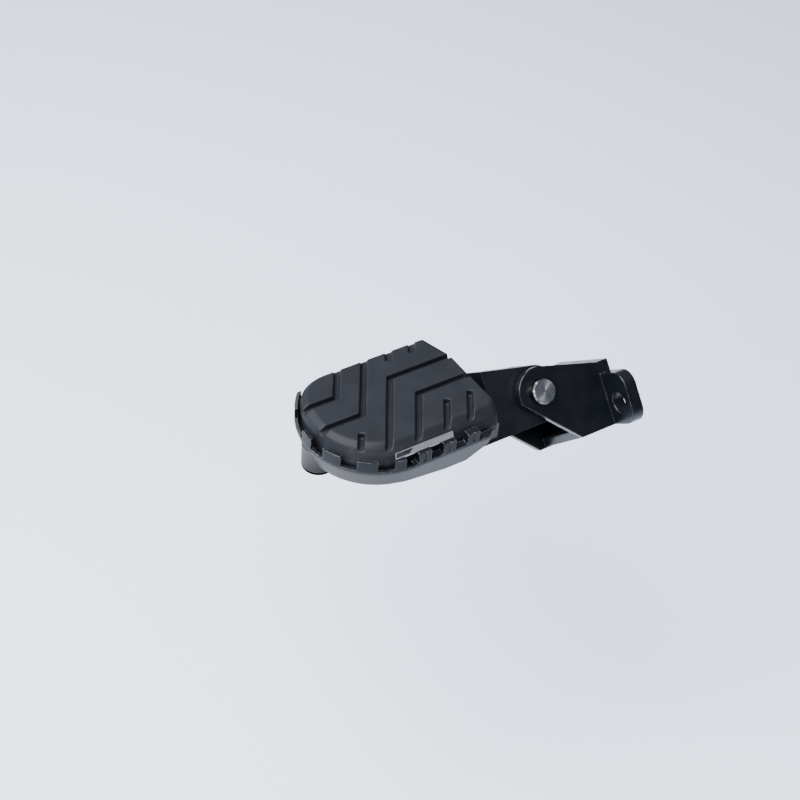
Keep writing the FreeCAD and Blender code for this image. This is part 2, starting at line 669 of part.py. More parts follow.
def plate_solid(label, blind=False):
    """The carrier plate in the rubber, with a weld nut over each pad screw."""
    body = new_body(label, Placement() if blind else PEG)
    bottom = cell("deckDrop")
    half, end = pad_foot() - cell("plateMargin"), pad_end() - cell("plateMargin")
    plan = new_sketch(body, label + "_plan", "XY_Plane", -bottom)
    polygon(plan, foot_plan(half, end))
    pad(body, plan, cell("plateThickness"), label + "_sheet")
    nuts = new_sketch(body, label + "_nuts", "XY_Plane", -bottom)
    holes = new_sketch(body, label + "_threads", "XY_Plane", -bottom)
    for x, y in pad_screw_places():
        polygon(nuts, hexagon(cell("nutRadius"), x, y))
        circle(holes, x, y, cell("padScrewThread") / 2 + cell("slip"))
    pad(body, nuts, cell("nutHeight") + cell("plateThickness"), label + "_nut_pads")
    doc.recompute()
    if not blind:
        pocket(body, holes, 2 * cell("nutHeight"), label + "_thread_holes", reverse=True)
    return body


def pad_screw_places():
    """Where the three pad screws stand: one near the tip, two beside each other inboard."""
    return [(cell("padScrewTip"), sized(0)),
            (-cell("padScrewInset"), cell("padScrewSpread")),
            (-cell("padScrewInset"), -cell("padScrewSpread"))]


def hexagon(radius, x=0, y=0):
    """Corners of a hexagon, a radius from its middle."""
    return [(x + turned("cos", 60.0 * k) * radius, y + turned("sin", 60.0 * k) * radius) for k in range(6)]


def hex_screw(label, x, y, seat, head, head_radius, thread, length):
    """A hexagon head screw that points up from its seat."""
    body = new_body(label, PEG)
    head_plan = new_sketch(body, label + "_head_plan", "XY_Plane", -head)
    polygon(head_plan, hexagon(head_radius))
    pad(body, head_plan, head, label + "_head")
    shank_plan = new_sketch(body, label + "_shank_plan", "XY_Plane")
    circle(shank_plan, 0, 0, thread / 2)
    pad(body, shank_plan, length, label + "_shank")
    place(body, PEG, (x, y, seat))
    return body


def cap_screw(label, x, y, seat, head, head_radius, thread, length):
    """A low cap screw that points up from its seat, with a hexagon socket in its head."""
    body = new_body(label, PEG)
    profile = new_sketch(body, label + "_profile", "XZ_Plane")
    polygon(profile, [
        (0, -head), (head_radius - head * 0.2, -head), (head_radius, -head * 0.8), (head_radius, 0),
        (thread / 2, 0), (thread / 2, length), (0, length)])
    revolve(body, profile, "Z_Axis", label + "_turned")
    doc.recompute()
    socket = new_sketch(body, label + "_socket", "XY_Plane", -head)
    polygon(socket, hexagon(head_radius * 0.52))
    pocket(body, socket, head * 0.6, label + "_socket_cut", reverse=True)
    place(body, PEG, (x, y, seat))
    return body


def fasteners():
    """Pad screws with their washers, adapter bolts, and the plug under the tip."""
    made = []
    under = -cell("deckDrop") - cell("deckThickness")
    head, head_radius = cell("padScrewHead"), cell("padScrewHeadRadius")
    thread = cell("padScrewThread")
    names = ("tip", "front", "rear")
    for name, (x, y) in zip(names, pad_screw_places()):
        seat = under - cell("washer")
        length = cell("screwReach") - seat - cell("deckDrop")
        made.append(hex_screw("pad_screw_" + name, x, y, seat, head, head_radius, thread, length))
        bore, rim = thread / 2 + cell("seatGap"), head_radius + cell("padWasherRim")
        washer = ring("pad_washer_" + name, PEG, bore, rim, 0, cell("washer"))
        place(washer, PEG, (x, y, seat))
        made.append(washer)
    seat = cell("boltCounterbore") - cell("flangeDepth")
    for name, side in (("front", 1), ("rear", -1)):
        made.append(cap_screw(
            "adapter_bolt_" + name, -cell("boltInset"), side * cell("boltSpread"), seat,
            cell("boltHead"), cell("boltHeadRadius"), cell("boltThread") - cell("seatGap") / 2,
            -seat - cell("deckDrop") - 2 * cell("seatGap")))
    plug = new_body("boss_plug", PEG)
    profile = new_sketch(plug, "plug_profile", "XZ_Plane")
    flange, rim, radius = cell("plugFlange"), cell("bossRadius"), cell("plugRadius") - cell("slip")
    polygon(profile, [
        (0, -flange), (rim - flange / 2, -flange), (rim, -flange / 2), (rim, 0), (radius, 0),
        (radius, cell("plugDepth")), (0, cell("plugDepth"))])
    revolve(plug, profile, "Z_Axis", "plug_turned")
    place(plug, PEG, (cell("bossOffset"), 0, -cell("bossDepth")))
    made.append(plug)
    return made


def trim_bar():
    """The bright bar that lies on three teeth of the front side, with a slanted field at its end."""
    body = new_body("trim_bar", PEG)
    start, length, width = cell("barStart"), cell("barLength"), cell("barWidth")
    outer, slant = cell("pegHalfWidth") - cell("barInset"), cell("barSlant")
    plan = new_sketch(body, "bar_plan", "XY_Plane", cell("toothHeight"))
    polygon(plan, [
        (start, outer), (start - length, outer), (start - length - slant, outer - width),
        (start - slant, outer - width)])
    pad(body, plan, cell("barThickness"), "bar")
    doc.recompute()
    field = new_sketch(body, "field_plan", "XY_Plane", cell("toothHeight") + cell("barThickness"))
    edge = cell("barBorder")
    inner, near = start - edge, start - cell("barField")
    polygon(field, [
        (inner, outer - edge), (near, outer - edge), (near - 2 * slant, outer - width + edge),
        (inner - slant, outer - width + edge)])
    pocket(body, field, cell("barThickness") / 4, "field")
    return body


def adapter():
    """The black block that carries the peg on the pin: tapered arm, stop heel and bolted flange."""
    arm = new_body("adapter_arm", HINGE)
    rise, drop, heel = cell("armRise"), cell("armDrop"), cell("heelReach")
    reach = cell("tipReach") - cell("deckEnd") + cell("landLength") - cell("flangeInset")
    side = new_sketch(arm, "arm_side", "XZ_Plane", -cell("armFront"))
    polygon(side, [
        (-rise, 0, rise), (-rise, -rise * 0.2), (-heel, -rise * 0.4), (-heel, 2 - drop), (2 - heel, -drop),
        (reach, -drop), (reach, rise + reach * cell("armTaper")), (0, rise)])
    pad(arm, side, cell("armFront") + cell("armBack"), "arm")
    doc.recompute()
    pieces = doc.addObject("Part::MultiFuse", "adapter_blank")

    level = cell("pegRise") - cell("landDepth")
    end = cell("pivotReach") + cell("tipReach") - cell("deckEnd")
    far = cell("landLength") - cell("flangeInset")
    flange = doc.addObject("Part::Box", "adapter_flange")
    bind(flange, "Length", cell("flangeRoot") + far)
    bind(flange, "Width", 2 * cell("flangeHalfWidth"))
    bind(flange, "Height", cell("flangeDepth") - cell("landDepth"))
    bind(flange, "Placement.Base.x", end - cell("flangeRoot"))
    bind(flange, "Placement.Base.y", -cell("flangeHalfWidth"))
    bind(flange, "Placement.Base.z", cell("pegRise") - cell("flangeDepth"))

    above = doc.addObject("Part::Box", "above_flange")
    bind(above, "Length", 2 * cell("tipReach"))
    bind(above, "Width", 4 * cell("pegHalfWidth"))
    bind(above, "Height", 2 * cell("pegHalfWidth"))
    bind(above, "Placement.Base.x", end - cell("armStep"))
    bind(above, "Placement.Base.y", -2 * cell("pegHalfWidth"))
    bind(above, "Placement.Base.z", level)
    below = new_body("below_flange", Placement())
    under = new_sketch(below, "below_flange_side", "XZ_Plane")
    floor = cell("pegRise") - cell("flangeDepth")
    bend = end - cell("flangeRoot")
    fall = 2 * cell("armDrop")
    polygon(under, [
        (bend - fall, floor - fall), (end * 3, floor - fall), (end * 3, floor), (bend, floor)])
    pad(below, under, 4 * cell("pegHalfWidth"), "below_flange_block", middle=True)
    doc.recompute()
    trimmed = doc.addObject("Part::Cut", "adapter_trimmed_top")
    trimmed.Base, trimmed.Tool = arm, above
    lower = doc.addObject("Part::Cut", "adapter_trimmed")
    lower.Base, lower.Tool = trimmed, below
    pieces.Shapes = [lower, flange]

    bore = doc.addObject("Part::Cylinder", "adapter_bore")
    bind(bore, "Radius", cell("bushRadius") + cell("slip"))
    bind(bore, "Height", 4 * cell("armFront"))
    turn = HINGE.multiply(Placement(Vector(0, 2 * sizes["armFront"], 0), Rotation(Vector(1, 0, 0), 90)))
    bore.Placement = turn
    spring_hole = doc.addObject("Part::Cylinder", "spring_leg_hole")
    bind(spring_hole, "Radius", cell("springWire") / 2 + cell("seatGap"))
    bind(spring_hole, "Height", cell("springHook") + 1)
    leg = Vector(spring_leg(), -sizes["armBack"] + sizes["springHook"], coil_radius())
    spring_hole.Placement = HINGE.multiply(Placement(leg, Rotation(Vector(1, 0, 0), 90)))
    tools = [bore, spring_hole]
    for side_name, sign in (("front", 1), ("rear", -1)):
        for kind, radius, depth in (
                ("hole", cell("boltThread") / 2 + cell("screwGap"), cell("flangeDepth")),
                ("counterbore", cell("boltHeadRadius") + cell("screwGap"), cell("boltCounterbore"))):
            hole = doc.addObject("Part::Cylinder", "adapter_%s_%s" % (kind, side_name))
            bind(hole, "Radius", radius)
            bind(hole, "Height", depth)
            bind(hole, "Placement.Base.x", cell("pivotReach") + cell("tipReach") - cell("boltInset"))
            bind(hole, "Placement.Base.y", sign * cell("boltSpread"))
            bind(hole, "Placement.Base.z", floor)
            tools.append(hole)
    holes = doc.addObject("Part::MultiFuse", "adapter_holes")
    holes.Shapes = tools
    block = doc.addObject("Part::Cut", "adapter_block")
    block.Base, block.Tool = pieces, holes
    block.Label = "adapter_block"
    return block


def spring_leg():
    """Fold axis to the spring's hook, which goes into the arm beside the flange."""
    return (sizes["tipReach"] - sizes["deckEnd"]) - sizes["flangeRoot"] - sizes["springLegGap"]


def coil_radius():
    """Middle of the return spring's wire, from the pin's axis."""
    return sizes["bushRadius"] + sizes["seatGap"] * 2 + sizes["springWire"] / 2


def return_spring():
    """The torsion spring: a coil round the spool, a hook into the arm and a leg on the stop web."""
    wire, radius, pitch = sizes["springWire"] / 2, coil_radius(), sizes["springPitch"]
    start = -sizes["armBack"] - sizes["bushFlange"] - sizes["seatGap"] - wire
    bend, leg, slope = sizes["springBend"], spring_leg(), math.radians(sizes["earSlope"])
    hook_end = sizes["springHook"] - sizes["armBack"] - wire / 2
    hook = Part.LineSegment(Vector(leg, hook_end, radius), Vector(leg, start + bend, radius))
    diagonal = bend * math.sqrt(0.5)
    corner = Part.Arc(
        Vector(leg, start + bend, radius),
        Vector(leg - bend + diagonal, start + bend - diagonal, radius),
        Vector(leg - bend, start, radius))
    run = Part.LineSegment(Vector(leg - bend, start, radius), Vector(0, start, radius))
    path = [hook, corner, run]
    side, reach = 1, math.hypot(radius, pitch / 4)
    for half_turn in range(2 * round(sizes["springTurns"])):
        here = start - pitch * half_turn / 2
        path.append(Part.Arc(
            Vector(0, here, side * radius), Vector(-side * reach, here - pitch / 4, 0),
            Vector(0, here - pitch / 2, -side * radius)))
        side = -side
    finish = start - pitch * round(sizes["springTurns"])
    leave = Vector(-math.sin(slope), 0, math.cos(slope)) * radius + Vector(0, finish, 0)
    halfway = Vector(-math.sin(slope / 2), 0, math.cos(slope / 2)) * radius + Vector(0, finish, 0)
    lying = Vector(-math.cos(slope), 0, -math.sin(slope)) * sizes["springRest"]
    path.append(Part.Arc(Vector(0, finish, radius), halfway, leave))
    path.append(Part.LineSegment(leave, leave + lying))
    step = 2 * math.pi / round(sizes["springSides"])
    corners = [
        Vector(leg + wire * math.cos(k * step), hook_end, radius + wire * math.sin(k * step))
        for k in range(round(sizes["springSides"]))]
    section = Part.makePolygon(corners + corners[:1])
    spring = doc.addObject("Part::Feature", "return_spring")
    spring.Shape = Part.Wire([piece.toShape() for piece in path]).makePipe(Part.Face(section))
    spring.Label = "return_spring"
    spring.Placement = HINGE
    return spring


def hinge_parts():
    """What sits on the fold axis: pin, front bush, spring spool, washer and clip."""
    pin_radius, head = cell("pinRadius"), cell("pinHeadHeight")
    outer = cell("earHalfGap") + cell("earThickness")
    washer, groove = cell("washer"), cell("clipThickness")
    pin = new_body("pivot_pin", HINGE)
    profile = new_sketch(pin, "pin_profile", "XY_Plane")
    tail = outer + washer + groove + cell("pinTail")
    head_radius, edge = cell("pinHeadRadius"), cell("pinChamfer")
    polygon(profile, [
        (0, outer + head), (head_radius - edge, outer + head), (head_radius, outer + head - edge),
        (head_radius, outer), (pin_radius, outer), (pin_radius, -outer - washer),
        (cell("clipSeat"), -outer - washer), (cell("clipSeat"), -outer - washer - groove),
        (pin_radius, -outer - washer - groove), (pin_radius, edge - tail), (pin_radius - edge, -tail),
        (0, -tail)])
    revolve(pin, profile, "Y_Axis", "pin_turned")

    bore = pin_radius + cell("runningGap")
    bush = new_body("front_bush", HINGE)
    profile = new_sketch(bush, "bush_profile", "XY_Plane")
    face, gap = cell("armFront"), cell("seatGap")
    inner_end = (cell("armFront") - cell("armBack") + gap) / 2
    polygon(profile, [
        (bore, inner_end), (cell("bushRadius"), inner_end), (cell("bushRadius"), face),
        (cell("bushFlangeRadius"), face), (cell("bushFlangeRadius"), face + cell("bushFlange")),
        (bore, face + cell("bushFlange"))])
    revolve(bush, profile, "Y_Axis", "bush_turned")

    spool = new_body("spring_spool", HINGE)
    profile = new_sketch(spool, "spool_profile", "XY_Plane")
    back = -cell("armBack")
    polygon(profile, [
        (bore, inner_end - gap), (cell("bushRadius"), inner_end - gap), (cell("bushRadius"), back),
        (cell("bushFlangeRadius"), back), (cell("bushFlangeRadius"), back - cell("bushFlange")),
        (cell("bushRadius"), back - cell("bushFlange")), (cell("bushRadius"), gap - cell("earHalfGap")),
        (bore, gap - cell("earHalfGap"))])
    revolve(spool, profile, "Y_Axis", "spool_turned")

    bore, rim = pin_radius + gap / 2, cell("pinWasherRadius")
    ring_washer = ring("pin_washer", HINGE, bore, rim, outer, washer, "XZ_Plane")
    clip = new_body("retaining_clip", HINGE)
    plan = new_sketch(clip, "clip_plan", "XZ_Plane", outer + washer)
    circle(plan, 0, 0, cell("clipRadius"))
    circle(plan, 0, 0, cell("clipSeat") + cell("slip"))
    pad(clip, plan, groove - cell("slip"), "clip_ring")
    doc.recompute()
    mouth = new_sketch(clip, "clip_mouth", "XZ_Plane", outer + washer)
    narrow, far = cell("clipSeat") * 0.75, 2 * cell("clipRadius")
    polygon(mouth, [(-narrow, 0), (narrow, 0), (narrow * 1.6, -far), (-narrow * 1.6, -far)])
    pocket(clip, mouth, 2 * groove, "clip_mouth_cut", reverse=True)
    return [pin, bush, spool, ring_washer, clip]


def ear_outline(reach, bottom):
    """Side of an ear: round about the pin, falling inboard above, with a leaning lower edge at a reach."""
    radius, front = cell("earRadius"), cell("pivotReach") - cell("basePlate")
    slope, lean = cell("earSlope"), cell("earLean")
    across, down = turned("cos", lean), turned("sin", lean)
    meet = (reach - across * radius) / down
    return [
        (radius, -meet), (radius, 0), (0, radius, radius),
        (-turned("sin", slope) * radius, turned("cos", slope) * radius, radius),
        (-front, sloping_height(radius, front)), (-front, -bottom),
        ((reach - down * bottom) / across, -bottom)]


def sloping_height(distance, inboard):
    """Height of a line that leans like the ears' upper edge, a distance from the fold axis."""
    slope = cell("earSlope")
    return (distance - inboard * turned("sin", slope)) / turned("cos", slope)


def bracket():
    """The welded clevis: base plate with two wings, ears about the pin, stop web and lower web."""
    body = new_body("clevis_bracket", HINGE)
    radius, base, thick = cell("earRadius"), cell("pivotReach"), cell("basePlate")
    bottom, rear_bottom, web = cell("earBottom"), cell("rearEarBottom"), cell("webThickness")
    front, crest = base - thick, sloping_height(radius, base - thick)
    gap, outer = cell("earHalfGap"), cell("earHalfGap") + cell("earThickness")

    ear = new_sketch(body, "front_ear_side", "XZ_Plane", -gap)
    polygon(ear, ear_outline(cell("frontEarReach"), bottom))
    pad(body, ear, cell("earThickness"), "front_ear", reverse=True)
    plate = new_sketch(body, "base_plan", "YZ_Plane", -base)
    length, wing, corner = cell("baseHalfLength"), -cell("wingTop"), cell("baseCorner")
    polygon(plate, [
        (corner - length, -rear_bottom, corner), (-outer, -rear_bottom), (outer, -bottom),
        (length - corner, -bottom),
        (length, corner - bottom, corner), (length, wing - corner), (length - corner, wing, corner),
        (outer, wing), (outer, crest), (-outer, crest), (-outer, wing), (corner - length, wing),
        (-length, wing - corner, corner), (-length, corner - rear_bottom)])
    pad(body, plate, thick, "base")
    ear = new_sketch(body, "rear_ear_side", "XZ_Plane", gap)
    polygon(ear, ear_outline(cell("rearEarReach"), rear_bottom))
    pad(body, ear, cell("earThickness"), "rear_ear")

    stop = new_sketch(body, "stop_side", "XZ_Plane")
    near = cell("heelReach") + cell("seatGap")
    far, stop_top = near + web, -cell("stopTop")
    polygon(stop, [
        (-near, -cell("stopBottom")), (-near, stop_top), (-far, stop_top), (-far, -cell("stopBottom"))])
    pad(body, stop, 2 * gap, "stop_web", middle=True)
    rest = new_sketch(body, "spring_rest_side", "XZ_Plane", gap)
    wire_side = sized(coil_radius()) - cell("springWire") / 2 - cell("seatGap") / 2
    polygon(rest, [
        (-near, stop_top), (-near, sloping_height(wire_side, near)),
        (-far, sloping_height(wire_side, far)), (-far, stop_top)])
    pad(body, rest, gap - cell("armBack") - cell("bushFlange"), "spring_rest", reverse=True)
    floor = new_sketch(body, "floor_plan", "YZ_Plane", -front)
    fall = (rear_bottom - bottom) * cell("earThickness") / (2 * outer)
    polygon(floor, [
        (-gap, fall - rear_bottom), (gap, -bottom - fall), (gap, web - bottom - fall),
        (-gap, web + fall - rear_bottom)])
    corner_out = cell("frontEarReach") - turned("sin", cell("earLean")) * bottom
    pad(body, floor, front + corner_out / turned("cos", cell("earLean")), "floor_web")
    doc.recompute()
    pin_hole = new_sketch(body, "pin_hole", "XZ_Plane")
    circle(pin_hole, 0, 0, cell("pinRadius") + cell("slip"))
    pocket(body, pin_hole, 3 * outer, "pin_hole_cut", middle=True)
    fixing = new_sketch(body, "fixing_holes", "YZ_Plane")
    for sign in (1, -1):
        circle(fixing, sign * (length - cell("baseHoleEdge")), -cell("baseHoleDrop"), cell("baseHoleRadius"))
    pocket(body, fixing, 2 * base, "fixing_hole_cut")
    return body


def check(items):
    """Stops if an object failed or a shape is empty, broken or in pieces."""
    for item in doc.Objects:
        if "Invalid" in item.State or "Error" in item.State:
            raise RuntimeError("%s failed: %s" % (item.Name, item.State))
    for item in items:
        if item.Shape.isNull() or not item.Shape.isValid():
            raise RuntimeError("%s has no valid shape" % item.Label)
        if len(item.Shape.Solids) != 1:
            raise RuntimeError("%s is %d solids" % (item.Label, len(item.Shape.Solids)))


def main():
    """Builds every piece, checks it and writes its file."""
    items = [peg_body(), rubber_pad(), plate_solid("pad_plate"), trim_bar(), adapter(), bracket()]
    items += fasteners() + hinge_parts() + [return_spring()]
    doc.recompute()
    check(items)
    for item in items:
        item.Shape.exportStep("parts/%s.step" % item.Label)


main()
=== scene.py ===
"""Looks of a folding footpeg: its finishes, its moulded tread and round spring wire, and the stage."""

import json
import math

import bmesh
import bpy
from bpy.props import FloatProperty, FloatVectorProperty, PointerProperty
from bpy.types import Operator, Panel, PropertyGroup
from mathutils import Matrix, Vector


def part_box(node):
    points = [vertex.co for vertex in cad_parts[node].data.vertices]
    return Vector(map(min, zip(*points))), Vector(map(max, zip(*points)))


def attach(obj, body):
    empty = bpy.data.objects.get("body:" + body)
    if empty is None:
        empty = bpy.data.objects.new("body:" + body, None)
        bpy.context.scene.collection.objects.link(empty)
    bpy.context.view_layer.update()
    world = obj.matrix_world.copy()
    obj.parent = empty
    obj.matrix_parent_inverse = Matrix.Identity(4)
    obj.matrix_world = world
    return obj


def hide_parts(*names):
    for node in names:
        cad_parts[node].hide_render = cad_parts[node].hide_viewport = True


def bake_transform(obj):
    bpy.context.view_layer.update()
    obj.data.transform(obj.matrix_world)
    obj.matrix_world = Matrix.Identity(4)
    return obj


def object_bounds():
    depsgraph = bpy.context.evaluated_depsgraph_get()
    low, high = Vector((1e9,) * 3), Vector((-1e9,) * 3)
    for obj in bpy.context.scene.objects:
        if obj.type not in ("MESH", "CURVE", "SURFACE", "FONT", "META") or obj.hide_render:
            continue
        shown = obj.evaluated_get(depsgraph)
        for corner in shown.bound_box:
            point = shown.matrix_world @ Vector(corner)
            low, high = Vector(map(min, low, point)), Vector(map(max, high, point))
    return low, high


bl_info = {
    "name": "Footpeg Looks",
    "version": (1, 0, 0),
    "blender": (4, 5, 0),
    "location": "View3D > Sidebar > Footpeg",
    "description": "Finishes, tread rubber, spring and stage of a folding footpeg",
    "category": "Object",
}

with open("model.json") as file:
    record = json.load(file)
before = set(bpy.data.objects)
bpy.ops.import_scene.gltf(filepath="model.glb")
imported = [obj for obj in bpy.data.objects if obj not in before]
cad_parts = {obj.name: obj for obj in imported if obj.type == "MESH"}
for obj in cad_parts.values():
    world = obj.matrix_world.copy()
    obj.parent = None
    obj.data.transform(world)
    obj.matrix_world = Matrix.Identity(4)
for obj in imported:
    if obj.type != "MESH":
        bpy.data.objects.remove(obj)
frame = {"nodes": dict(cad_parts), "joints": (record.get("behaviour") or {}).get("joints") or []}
cad_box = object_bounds()

MM = 0.001

# The hinge: the pin points to the toothed side, and up is square to it
FOLD = next(joint for joint in frame["joints"] if joint["name"] == "fold")
PIN_POINT = Vector(FOLD["pos_m"])
PIN_AXIS = -Vector(FOLD["axis"]).normalized()
PIN_UP = Vector((1.0, 0.0, 0.0)).cross(PIN_AXIS)

# The casting, from the centre of the tip's half circle at the notch floors' height: the deck, a radius
# just inside the crown's outer face, where its rear side begins, its lip, and the heights between
# which the boss is painted darker as painted shade
TIP_CENTRE = Vector((99.0, 0.0, 17.7)) * MM
DECK_HEIGHT = -3.0 * MM
CROWN_INSIDE = 28.2 * MM
REAR_SIDE = -4.0 * MM
LIP_HEIGHT = -0.3 * MM
BOSS_LIGHT, BOSS_DARK = -4.5 * MM, -11.0 * MM
# Play that the painted shade keeps from the height or the radius of a shape
PLAY = 0.5 * MM
BOSS_PLAY = 0.4 * MM

# Most values of a noise lie between these
NOISE_LOW, NOISE_HIGH = 0.3, 0.7
# Rounding that light finds on the edges of small pieces
SMALL_EDGE = 0.2 * MM


class FootpegSizes(PropertyGroup):
    """Sizes that shape the soft pieces and the wear."""

    rubber_grid: FloatProperty(
        name="Rubber Grid", description="Cell of the mesh that the rubber is moulded from",
        default=0.34 * MM, unit="LENGTH")
    rubber_rounding: FloatProperty(
        name="Rubber Rounding", description="How softly the rubber's edges are rounded",
        default=0.5, subtype="FACTOR", min=0.0, max=1.0)
    cast_edge: FloatProperty(
        name="Cast Edge", description="Rounding that light finds on the casting's edges",
        default=0.55 * MM, unit="LENGTH")
    adapter_edge: FloatProperty(
        name="Adapter Edge", description="Rounding that light finds on the adapter's edges",
        default=0.35 * MM, unit="LENGTH")
    bracket_edge: FloatProperty(
        name="Bracket Edge", description="Rounding that light finds on the bracket's edges",
        default=0.9 * MM, unit="LENGTH")
    cast_grain: FloatProperty(
        name="Cast Grain", description="Size of the grain of the casting's skin",
        default=0.35 * MM, unit="LENGTH")
    spring_wire: FloatProperty(
        name="Spring Wire", description="Radius of the return spring's wire",
        default=1.0 * MM, unit="LENGTH")
    spring_coil: FloatProperty(
        name="Spring Coil", description="Middle of the return spring's wire, from the pin's axis",
        default=7.4 * MM, unit="LENGTH")
    spring_pitch: FloatProperty(
        name="Spring Pitch", description="Coil to coil of the return spring",
        default=2.3 * MM, unit="LENGTH")


class FootpegColours(PropertyGroup):
    """Colours of the pieces."""

    rubber: FloatVectorProperty(
        name="Rubber", description="Tread rubber", subtype="COLOR", size=3,
        default=(0.0082, 0.0090, 0.0122), min=0.0, max=1.0)
    casting: FloatVectorProperty(
        name="Casting", description="Powder coat of the cast peg", subtype="COLOR", size=3,
        default=(0.040, 0.038, 0.037), min=0.0, max=1.0)
    black_paint: FloatVectorProperty(
        name="Black Paint", description="Paint of the adapter and the bracket", subtype="COLOR", size=3,
        default=(0.0016, 0.0022, 0.0040), min=0.0, max=1.0)
    bright_metal: FloatVectorProperty(
        name="Bright Metal", description="Turned and plated steel", subtype="COLOR", size=3,
        default=(0.30, 0.31, 0.34), min=0.0, max=1.0)
    bar_metal: FloatVectorProperty(
        name="Bar Metal", description="Brushed bar on the teeth", subtype="COLOR", size=3,
        default=(0.31, 0.32, 0.35), min=0.0, max=1.0)
    bush_plastic: FloatVectorProperty(
        name="Bush Plastic", description="Bush and spring spool", subtype="COLOR", size=3,
        default=(0.03, 0.03, 0.033), min=0.0, max=1.0)
    plug_plastic: FloatVectorProperty(
        name="Plug Plastic", description="Plug under the tip", subtype="COLOR", size=3,
        default=(0.001, 0.001, 0.001), min=0.0, max=1.0)
    floor: FloatVectorProperty(
        name="Floor", description="Floor and backdrop", subtype="COLOR", size=3,
        default=(0.745, 0.81, 0.95), min=0.0, max=1.0)


class Nodes:
    """A material's node tree, with short calls to add and join nodes."""

    def __init__(self, name):
        self.material = bpy.data.materials.new(name)
        self.material.use_nodes = True
        self.tree = self.material.node_tree
        self.shader = self.tree.nodes["Principled BSDF"]
        coordinates = self.add("ShaderNodeTexCoord")
        self.place = coordinates.outputs["Object"]
        self.facing = coordinates.outputs["Normal"]

    def add(self, kind, **settings):
        """A node with its settings."""
        node = self.tree.nodes.new(kind)
        for key, value in settings.items():
            setattr(node, key, value)
        return node

    def join(self, source, target):
        """Joins an output to an input."""
        self.tree.links.new(source, target)

    def feed(self, socket, value):
        """Joins an output to a socket, or sets the socket's own value."""
        if isinstance(value, bpy.types.NodeSocket):
            self.join(value, socket)
        else:
            socket.default_value = value

    def noise(self, size, detail, rough=0.5, stretch=(1.0, 1.0, 1.0), at=None):
        """Noise whose features are about a size across, over the piece or over another place."""
        node = self.add("ShaderNodeTexNoise")
        node.inputs["Scale"].default_value = 1.0 / size
        node.inputs["Detail"].default_value = detail
        node.inputs["Roughness"].default_value = rough
        mapping = self.add("ShaderNodeMapping")
        mapping.inputs["Scale"].default_value = stretch
        self.join(at or self.place, mapping.inputs["Vector"])
        self.join(mapping.outputs["Vector"], node.inputs["Vector"])
        return node.outputs["Fac"]

    def ramp(self, source, stops):
        """A value that goes from stop to stop along a source: pairs of position and value."""
        node = self.add("ShaderNodeValToRGB")
        for element, (position, value) in zip(node.color_ramp.elements, stops):
            element.position = position
            element.color = (value, value, value, 1.0)
        self.join(source, node.inputs["Fac"])
        return node.outputs["Color"]

    def climb(self, source, start, end):
        """0 where a source is at its start, 1 where it is at its end, and straight between them."""
        node = self.add("ShaderNodeMapRange")
        node.inputs["From Min"].default_value = start
        node.inputs["From Max"].default_value = end
        self.join(source, node.inputs["Value"])
        return node.outputs["Result"]

    def mix(self, share, first, second):
        """A share of the second colour over the first."""
        node = self.add("ShaderNodeMix", data_type="RGBA")
        colours = [socket for socket in node.inputs if socket.type == "RGBA"]
        factor = next(socket for socket in node.inputs if socket.name == "Factor")
        for socket, value in zip([factor] + colours, (share, first, second)):
            self.feed(socket, value)
        return next(socket for socket in node.outputs if socket.type == "RGBA")

    def cloudy(self, noise, colour, darkest, lightest):
        """A colour that a noise takes from its darkest to its lightest shade."""
        share = self.ramp(noise, [(NOISE_LOW, 0.0), (NOISE_HIGH, 1.0)])
        return self.mix(share, shade(colour, darkest), shade(colour, lightest))

    def number(self, kind, *values):
        """Arithmetic on numbers and outputs."""
        node = self.add("ShaderNodeMath", operation=kind)
        for socket, value in zip(node.inputs, values):
            self.feed(socket, value)
        return node.outputs[0]

    def times(self, first, *others):
        """Numbers and outputs multiplied together."""
        product = first
        for other in others:
            product = self.number("MULTIPLY", product, other)
        return product

    def vector(self, kind, *values):
        """Arithmetic on vectors; DOT_PRODUCT and LENGTH give a number."""
        node = self.add("ShaderNodeVectorMath", operation=kind)
        for socket, value in zip(node.inputs, values):
            self.feed(socket, value)
        return node.outputs["Value" if kind in ("DOT_PRODUCT", "LENGTH") else "Vector"]

    def axes(self, source):
        """A vector's three parts, by the names of their axes."""
        node = self.add("ShaderNodeSeparateXYZ")
        self.join(source, node.inputs["Vector"])
        return node.outputs

    def level(self, least):
        """1 on faces that look up, by the least height of their normal."""
        return self.number("GREATER_THAN", self.axes(self.facing)["Z"], least)

    def bump(self, height, depth, strength, over=None):
        """A bump of a real depth, over the shape or over another normal."""
        node = self.add("ShaderNodeBump")
        node.inputs["Distance"].default_value = depth
        node.inputs["Strength"].default_value = strength
        self.join(height, node.inputs["Height"])
        if over is not None:
            self.join(over, node.inputs["Normal"])
        return node.outputs["Normal"]

    def rounded(self, radius):
        """The normal that light finds when sharp edges are rounded to a radius."""
        node = self.add("ShaderNodeBevel", samples=6)
        node.inputs["Radius"].default_value = radius
        return node.outputs["Normal"]

    def edges(self, radius, low, high):
        """1 along sharp edges and 0 on the flats."""
        flat = self.add("ShaderNodeNewGeometry").outputs["True Normal"]
        dot = self.vector("DOT_PRODUCT", self.rounded(radius), flat)
        return self.ramp(self.number("SUBTRACT", 1.0, dot), [(low, 0.0), (high, 1.0)])

    def finish(self, colour, roughness, normal=None, metallic=0.0, **sockets):
        """Sets the shader's sockets and gives the material."""
        self.feed(self.shader.inputs["Base Color"], colour)
        self.feed(self.shader.inputs["Roughness"], roughness)
        self.shader.inputs["Metallic"].default_value = metallic
        if normal is not None:
            self.join(normal, self.shader.inputs["Normal"])
        for name, value in sockets.items():
            self.shader.inputs[name.replace("_", " ")].default_value = value
        return self.material


def settings():
    """The sizes and the colours of this scene."""
    return bpy.context.scene.footpeg_sizes, bpy.context.scene.footpeg_colours


